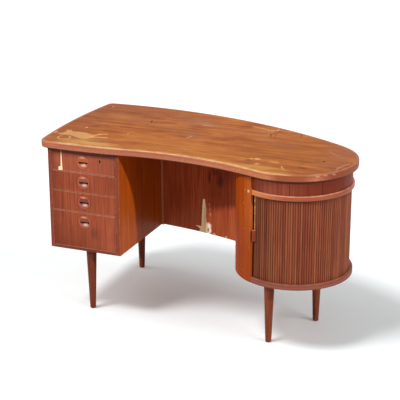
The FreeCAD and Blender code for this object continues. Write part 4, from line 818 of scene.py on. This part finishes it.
# Stains and chips: place and half size along X and Y, tear, colour and share
STAINS = (
    ((-400, -250), (80, 34), 14, "#D6A464", 0.6),
    ((-490, -250), (70, 26), 10, "#C89658", 0.5),
    ((-405, -224), (44, 14), 6, "#6E3C28", 0.6),
    ((-330, -215), (60, 12), 6, "#7C4830", 0.4),
    ((280, -209), (12, 9), 3, "#E6B878", 0.85),
    ((256, -213), (6, 7), 2, "#E0AE6C", 0.8),
    ((354, -222), (22, 10), 6, "#D09A58", 0.5),
    ((299, -270), (10, 10), 3, "#DCA866", 0.6),
    ((330, -300), (90, 22), 12, "#CC9852", 0.45),
    ((254, -234), (14, 10), 4, "#66381E", 0.6),
    ((262, -274), (14, 10), 4, "#6E4022", 0.5),
    ((474, -256), (16, 10), 5, "#54301E", 0.6),
    ((529, -147), (7, 8), 2, "#321810", 0.85),
    ((506, -152), (14, 5), 3, "#4E2A1A", 0.5),
    ((338, 165), (5, 9), 2, "#4E2818", 0.7),
    ((-540, -51), (3.5, 5), 1, "#F0D8C4", 0.9),
    ((-336, -77), (3, 5), 1, "#E6C6A4", 0.8),
    ((-589, 305), (4, 7), 1, "#DDB69C", 0.7),
    ((-629, -158), (7, 14), 3, "#DDA888", 0.7),
)
for (x, y), (wide, deep_mm), tear, code, share in STAINS:
    stain = patch(top_veneer, (x, y, top_z), (wide, deep_mm, MARK_DEPTH_MM), tear, soft=0.35)
    lay(top_veneer, stain, code, share)
BARE_PATCH = (
    ((-606, -183), (-583, -187), (-554, -180), (-546, -124), (-587, -132), (-599, -164)),
    ((-600, -116), (-590, -136), (-565, -130), (-582, -110)),
    ((-554, -180), (-488, -210), (-462, -207), (-448, -179), (-456, -154), (-504, -121), (-546, -122)),
)
for corners in BARE_PATCH:
    lay(top_veneer, shard(top_veneer, "XY", corners, tear=2.5, soft=2), "#DAA264", 0.7)
# A cup's ring, with a gap where the cup stood clear
RING_PLACE = (-558 * MM, -219 * MM, top_z * MM)
RING_RADIUS_MM, RING_HALF_MM = 26, 3
RING_GAP = ((-566, -194, top_z), (12, 10, MARK_DEPTH_MM))
out = add(tree, "VectorMath", {0: torn(top_veneer, 0.8), 1: RING_PLACE}, operation="DISTANCE")
off_ring = add(tree, "Math", {0: out, 1: RING_RADIUS_MM * MM}, operation="SUBTRACT")
beside = add(tree, "Math", {0: off_ring}, operation="ABSOLUTE")
ring_half = RING_HALF_MM * MM
ring = add(tree, "MapRange", {0: beside, 1: 0.5 * ring_half, 2: 1.4 * ring_half, 3: 1, 4: 0})
gap = patch(top_veneer, *RING_GAP, tear=2, soft=0.3)
closed = add(tree, "Math", {0: 1, 1: gap}, operation="SUBTRACT")
lay(top_veneer, ring, "#DDA560", 0.85, within=closed)
# Scratches: the route, half width, colour and share
SCRATCHES = (
    (((-460, -162), (-442, -124), (-414, -112)), 6, "#DDA468", 0.8),
    (((-456, -172), (-396, -161)), 8, "#DDA468", 0.7),
    (((-97, 164), (-60, 167)), 4, "#C8A494", 0.6),
    (((-88, -34), (-78, -12)), 4, "#D0A68C", 0.6),
    (((109, 224), (150, 212), (203, 190)), 8, "#C88C60", 0.7),
    (((203, 190), (221, 202), (218, 231)), 4, "#D09A74", 0.7),
    (((223, 106), (214, 140), (232, 170), (244, 190)), 3, "#3E1A10", 0.8),
    (((240, 113), (234, 146)), 2.4, "#4A2014", 0.7),
    (((398, -264), (405, -284), (422, -304)), 3, "#DDA878", 0.6),
    (((-322, 122), (-329, 151)), 3, "#2E1210", 0.85),
    (((602, -234), (604, -198), (614, -166), (628, -145)), 2.4, "#D09878", 0.6),
    (((511, -14), (542, -38), (558, -48)), 2.4, "#CC9478", 0.6),
    (((-210, -225), (120, -216)), 2.4, "#9A6030", 0.5),
    (((420, -190), (560, -196)), 2.4, "#C08850", 0.5),
)
for route, half, code, share in SCRATCHES:
    for start, end in zip(route, route[1:]):
        line = stroke(top_veneer, (*start, top_z), (*end, top_z), half, tear=1.5, soft=0.5)
        lay(top_veneer, line, code, share)
# Fine pale spots are strewn over the whole top
SPOT_MM = 7
spots = add(tree, "TexNoise", {"Vector": place, "Scale": 1 / (SPOT_MM * MM), "Detail": 2})
pale_spots = add(tree, "MapRange", {0: spots.outputs[0], 1: 0.64, 2: 0.74})
lay(top_veneer, pale_spots, "#D8A876", 0.35)
dress(top_veneer, "top_panel")

# Solid lipping handled all round: mottled, with a painted highlight on the upper arris, rubbed golden along
# the front, and painted shade along the lower arris
EDGE_TONES = ("#96563E", "#AE684A", "#C28062")
edge_teak = teak("Solid teak lipping", AROUND, EDGE_TONES, band_mm=9, line_mm=3, seed=1.1)
# Lengths of the edge that were handled more or less: middle and half along X, soft margin, colour and share
EDGE_STRETCHES = (
    (-260, 250, 120, "#945846", 0.45),
    (300, 60, 60, "#C07444", 0.6),
    (465, 45, 40, "#84401F", 0.85),
    (690, 90, 50, "#7A3212", 0.85),
)
for middle, half, soft, code, share in EDGE_STRETCHES:
    lay(edge_teak, belt(edge_teak, "X", middle, half, soft), code, share)
edge_low, edge_high = (corner[2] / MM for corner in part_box("top_edging"))
# A thin darker line runs round below the upper arris
LINE_DROP_MM = 7
thin_line = belt(edge_teak, "Z", edge_high - LINE_DROP_MM, half=1.2, soft=1.5)
lay(edge_teak, thin_line, "#7E422C", 0.35)
# Painted highlight along the upper arris, in blotches
arris = broken(edge_teak, facing(edge_teak, "Z", start=0.5, full=0.85), size_mm=34, least=0.5, most=1)
lay(edge_teak, arris, "#B47A5C", 0.6)
WORN_ARRIS_Y = (-500, 300, 90)
within_x, within_y = belt(edge_teak, "X", *WORN_X), belt(edge_teak, "Y", *WORN_ARRIS_Y)
worn_front = add(edge_teak.node_tree, "Math", {0: within_x, 1: within_y}, operation="MULTIPLY")
lay(edge_teak, arris, "#E6B67E", 0.85, within=worn_front)
mottled = broken(edge_teak, facing(edge_teak, "Z", start=0.5, full=0.3), size_mm=6, least=0, most=1)
lay(edge_teak, mottled, "#884A38", 0.4)
# Painted shade along the lower arris
shaded_lower_arris = belt(edge_teak, "Z", edge_low, half=3.2, soft=1.4)
lay(edge_teak, shaded_lower_arris, "#3A1610", 0.85)
CHIPS_DEGREES = (-35, -44, -52)
CHIP_RADIUS_MM, CHIP_DROP_MM = 238, 6
CHIP_HALF_MM = (8, 8, 3)
for degrees in CHIPS_DEGREES:
    spot = round_place(CHIP_RADIUS_MM, degrees, top_z - CHIP_DROP_MM)
    chip = patch(edge_teak, spot, CHIP_HALF_MM, tear=3, soft=0.6)
    lay(edge_teak, chip, "#DDAF94", 0.5)
dress(edge_teak, "top_edging")

# Legs: turned and tapered in solid teak, screwed up into the boards above with steel studs.
# Turned along the fibres, so the grain runs down the leg.
# Turned and oiled, the legs look dark and even, with a close straight grain
LEG_TONES = ("#54220F", "#6A301C", "#80442E")
leg_teak = teak("Turned teak of the legs", UPRIGHT, LEG_TONES, band_mm=10, line_mm=2.4)
dress(leg_teak, "front_left_leg", "rear_left_leg", "front_right_leg", "rear_right_leg")

# Room: a plain white floor, an even white surround, lamps and the camera.
# The floor and surround show white to the camera, and the floor keeps the desk's soft shadow.
FLOOR_HALF = 20.0
FLOOR_GLOW = 0.12
ROOM_LIGHT = 0.32


def shown(tree):
    """1 for what the camera sees, also in a mirror or through glass, and 0 for cast light."""
    ray = add(tree, "LightPath").outputs
    bounced = {0: ray["Is Glossy Ray"], 1: ray["Is Transmission Ray"]}
    mirrored = add(tree, "Math", bounced, operation="MAXIMUM")
    return add(tree, "Math", {0: ray["Is Camera Ray"], 1: mirrored}, operation="MAXIMUM")


bpy.ops.mesh.primitive_plane_add(size=2 * FLOOR_HALF, location=(0, 0, 0))
floor = bpy.context.object
floor.name = "floor"
# Matt paint: an even white with no shine, a little bright in itself so that shadows stay pale
paint = bpy.data.materials.new("White painted floor")
paint.use_nodes = True
tree = paint.node_tree
tree.nodes.clear()
CAST_WHITE, SHOWN_WHITE = linear("#DEDBD8"), linear("#F4F8F9")
white = add(tree, "Mix", {0: shown(tree), 6: CAST_WHITE, 7: SHOWN_WHITE}, data_type="RGBA")
chalk = add(tree, "BsdfDiffuse", {"Color": white})
lift = add(tree, "Emission", {"Color": linear("#F2FFFF"), "Strength": FLOOR_GLOW})
surface = add(tree, "AddShader", {0: chalk, 1: lift})
add(tree, "OutputMaterial", {"Surface": surface})
floor.data.materials.append(paint)
floor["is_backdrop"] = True

world = bpy.data.worlds.new("Studio")
bpy.context.scene.world = world
world.use_nodes = True
tree = world.node_tree
tree.nodes.clear()
level = add(tree, "MapRange", {0: shown(tree), 3: ROOM_LIGHT, 4: 1})
sky = add(tree, "Background", {"Color": linear("#FFFFFF"), "Strength": level})
add(tree, "OutputWorld", {"Surface": sky})

# Two lamps light all but the floor, and three soft ones the floor alone, for a faint, wide shadow
floor_alone = bpy.data.collections.new("floor_alone")
floor_alone.objects.link(floor)
all_but_floor = bpy.data.collections.new("all_but_floor")
all_but_floor.objects.link(floor)
all_but_floor.collection_objects[0].light_linking.link_state = "EXCLUDE"
# Far lamps: what they light, degrees round from the front to the right, degrees up, strength and spread
LAMPS = (
    ("lamp_right", all_but_floor, 69, 28, 2.3, 2),
    ("lamp_front_left", all_but_floor, -30.5, 35.5, 2.36, 3),
    ("lamp_soft_front_left", floor_alone, -41, 62, 1.85, 16),
    ("lamp_soft_left", floor_alone, -84, 42, 0.65, 36),
    ("lamp_soft_right", floor_alone, 80, 28, 1.3, 40),
)
for name, lit, turn, height, strength, spread in LAMPS:
    data = bpy.data.lights.new(name, "SUN")
    data.energy = strength
    data.angle = math.radians(spread)
    light = bpy.data.objects.new(name, data)
    around = Matrix.Rotation(math.radians(turn), 3, "Z")
    light.rotation_euler = (around @ Matrix.Rotation(math.radians(90 - height), 3, "X")).to_euler()
    light.light_linking.receiver_collection = lit
    bpy.context.scene.collection.objects.link(light)

CAMERA_LENS_MM = 113.76
CAMERA_PLACE = (1.8505, -4.6184, 2.1660)
CAMERA_TURN, CAMERA_TILT, CAMERA_ROLL = (math.radians(angle) for angle in (22.327, 18.860, -0.097))
camera_data = bpy.data.cameras.new("camera")
camera_data.lens = CAMERA_LENS_MM
camera = bpy.data.objects.new("camera", camera_data)
camera.location = CAMERA_PLACE
aim = Matrix.Rotation(CAMERA_TURN, 3, "Z") @ Matrix.Rotation(math.pi / 2 - CAMERA_TILT, 3, "X")
camera.rotation_euler = (aim @ Matrix.Rotation(CAMERA_ROLL, 3, "Z")).to_euler()
bpy.context.scene.collection.objects.link(camera)
bpy.context.scene.camera = camera
bpy.context.scene.view_settings.view_transform = "Standard"

low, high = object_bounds()
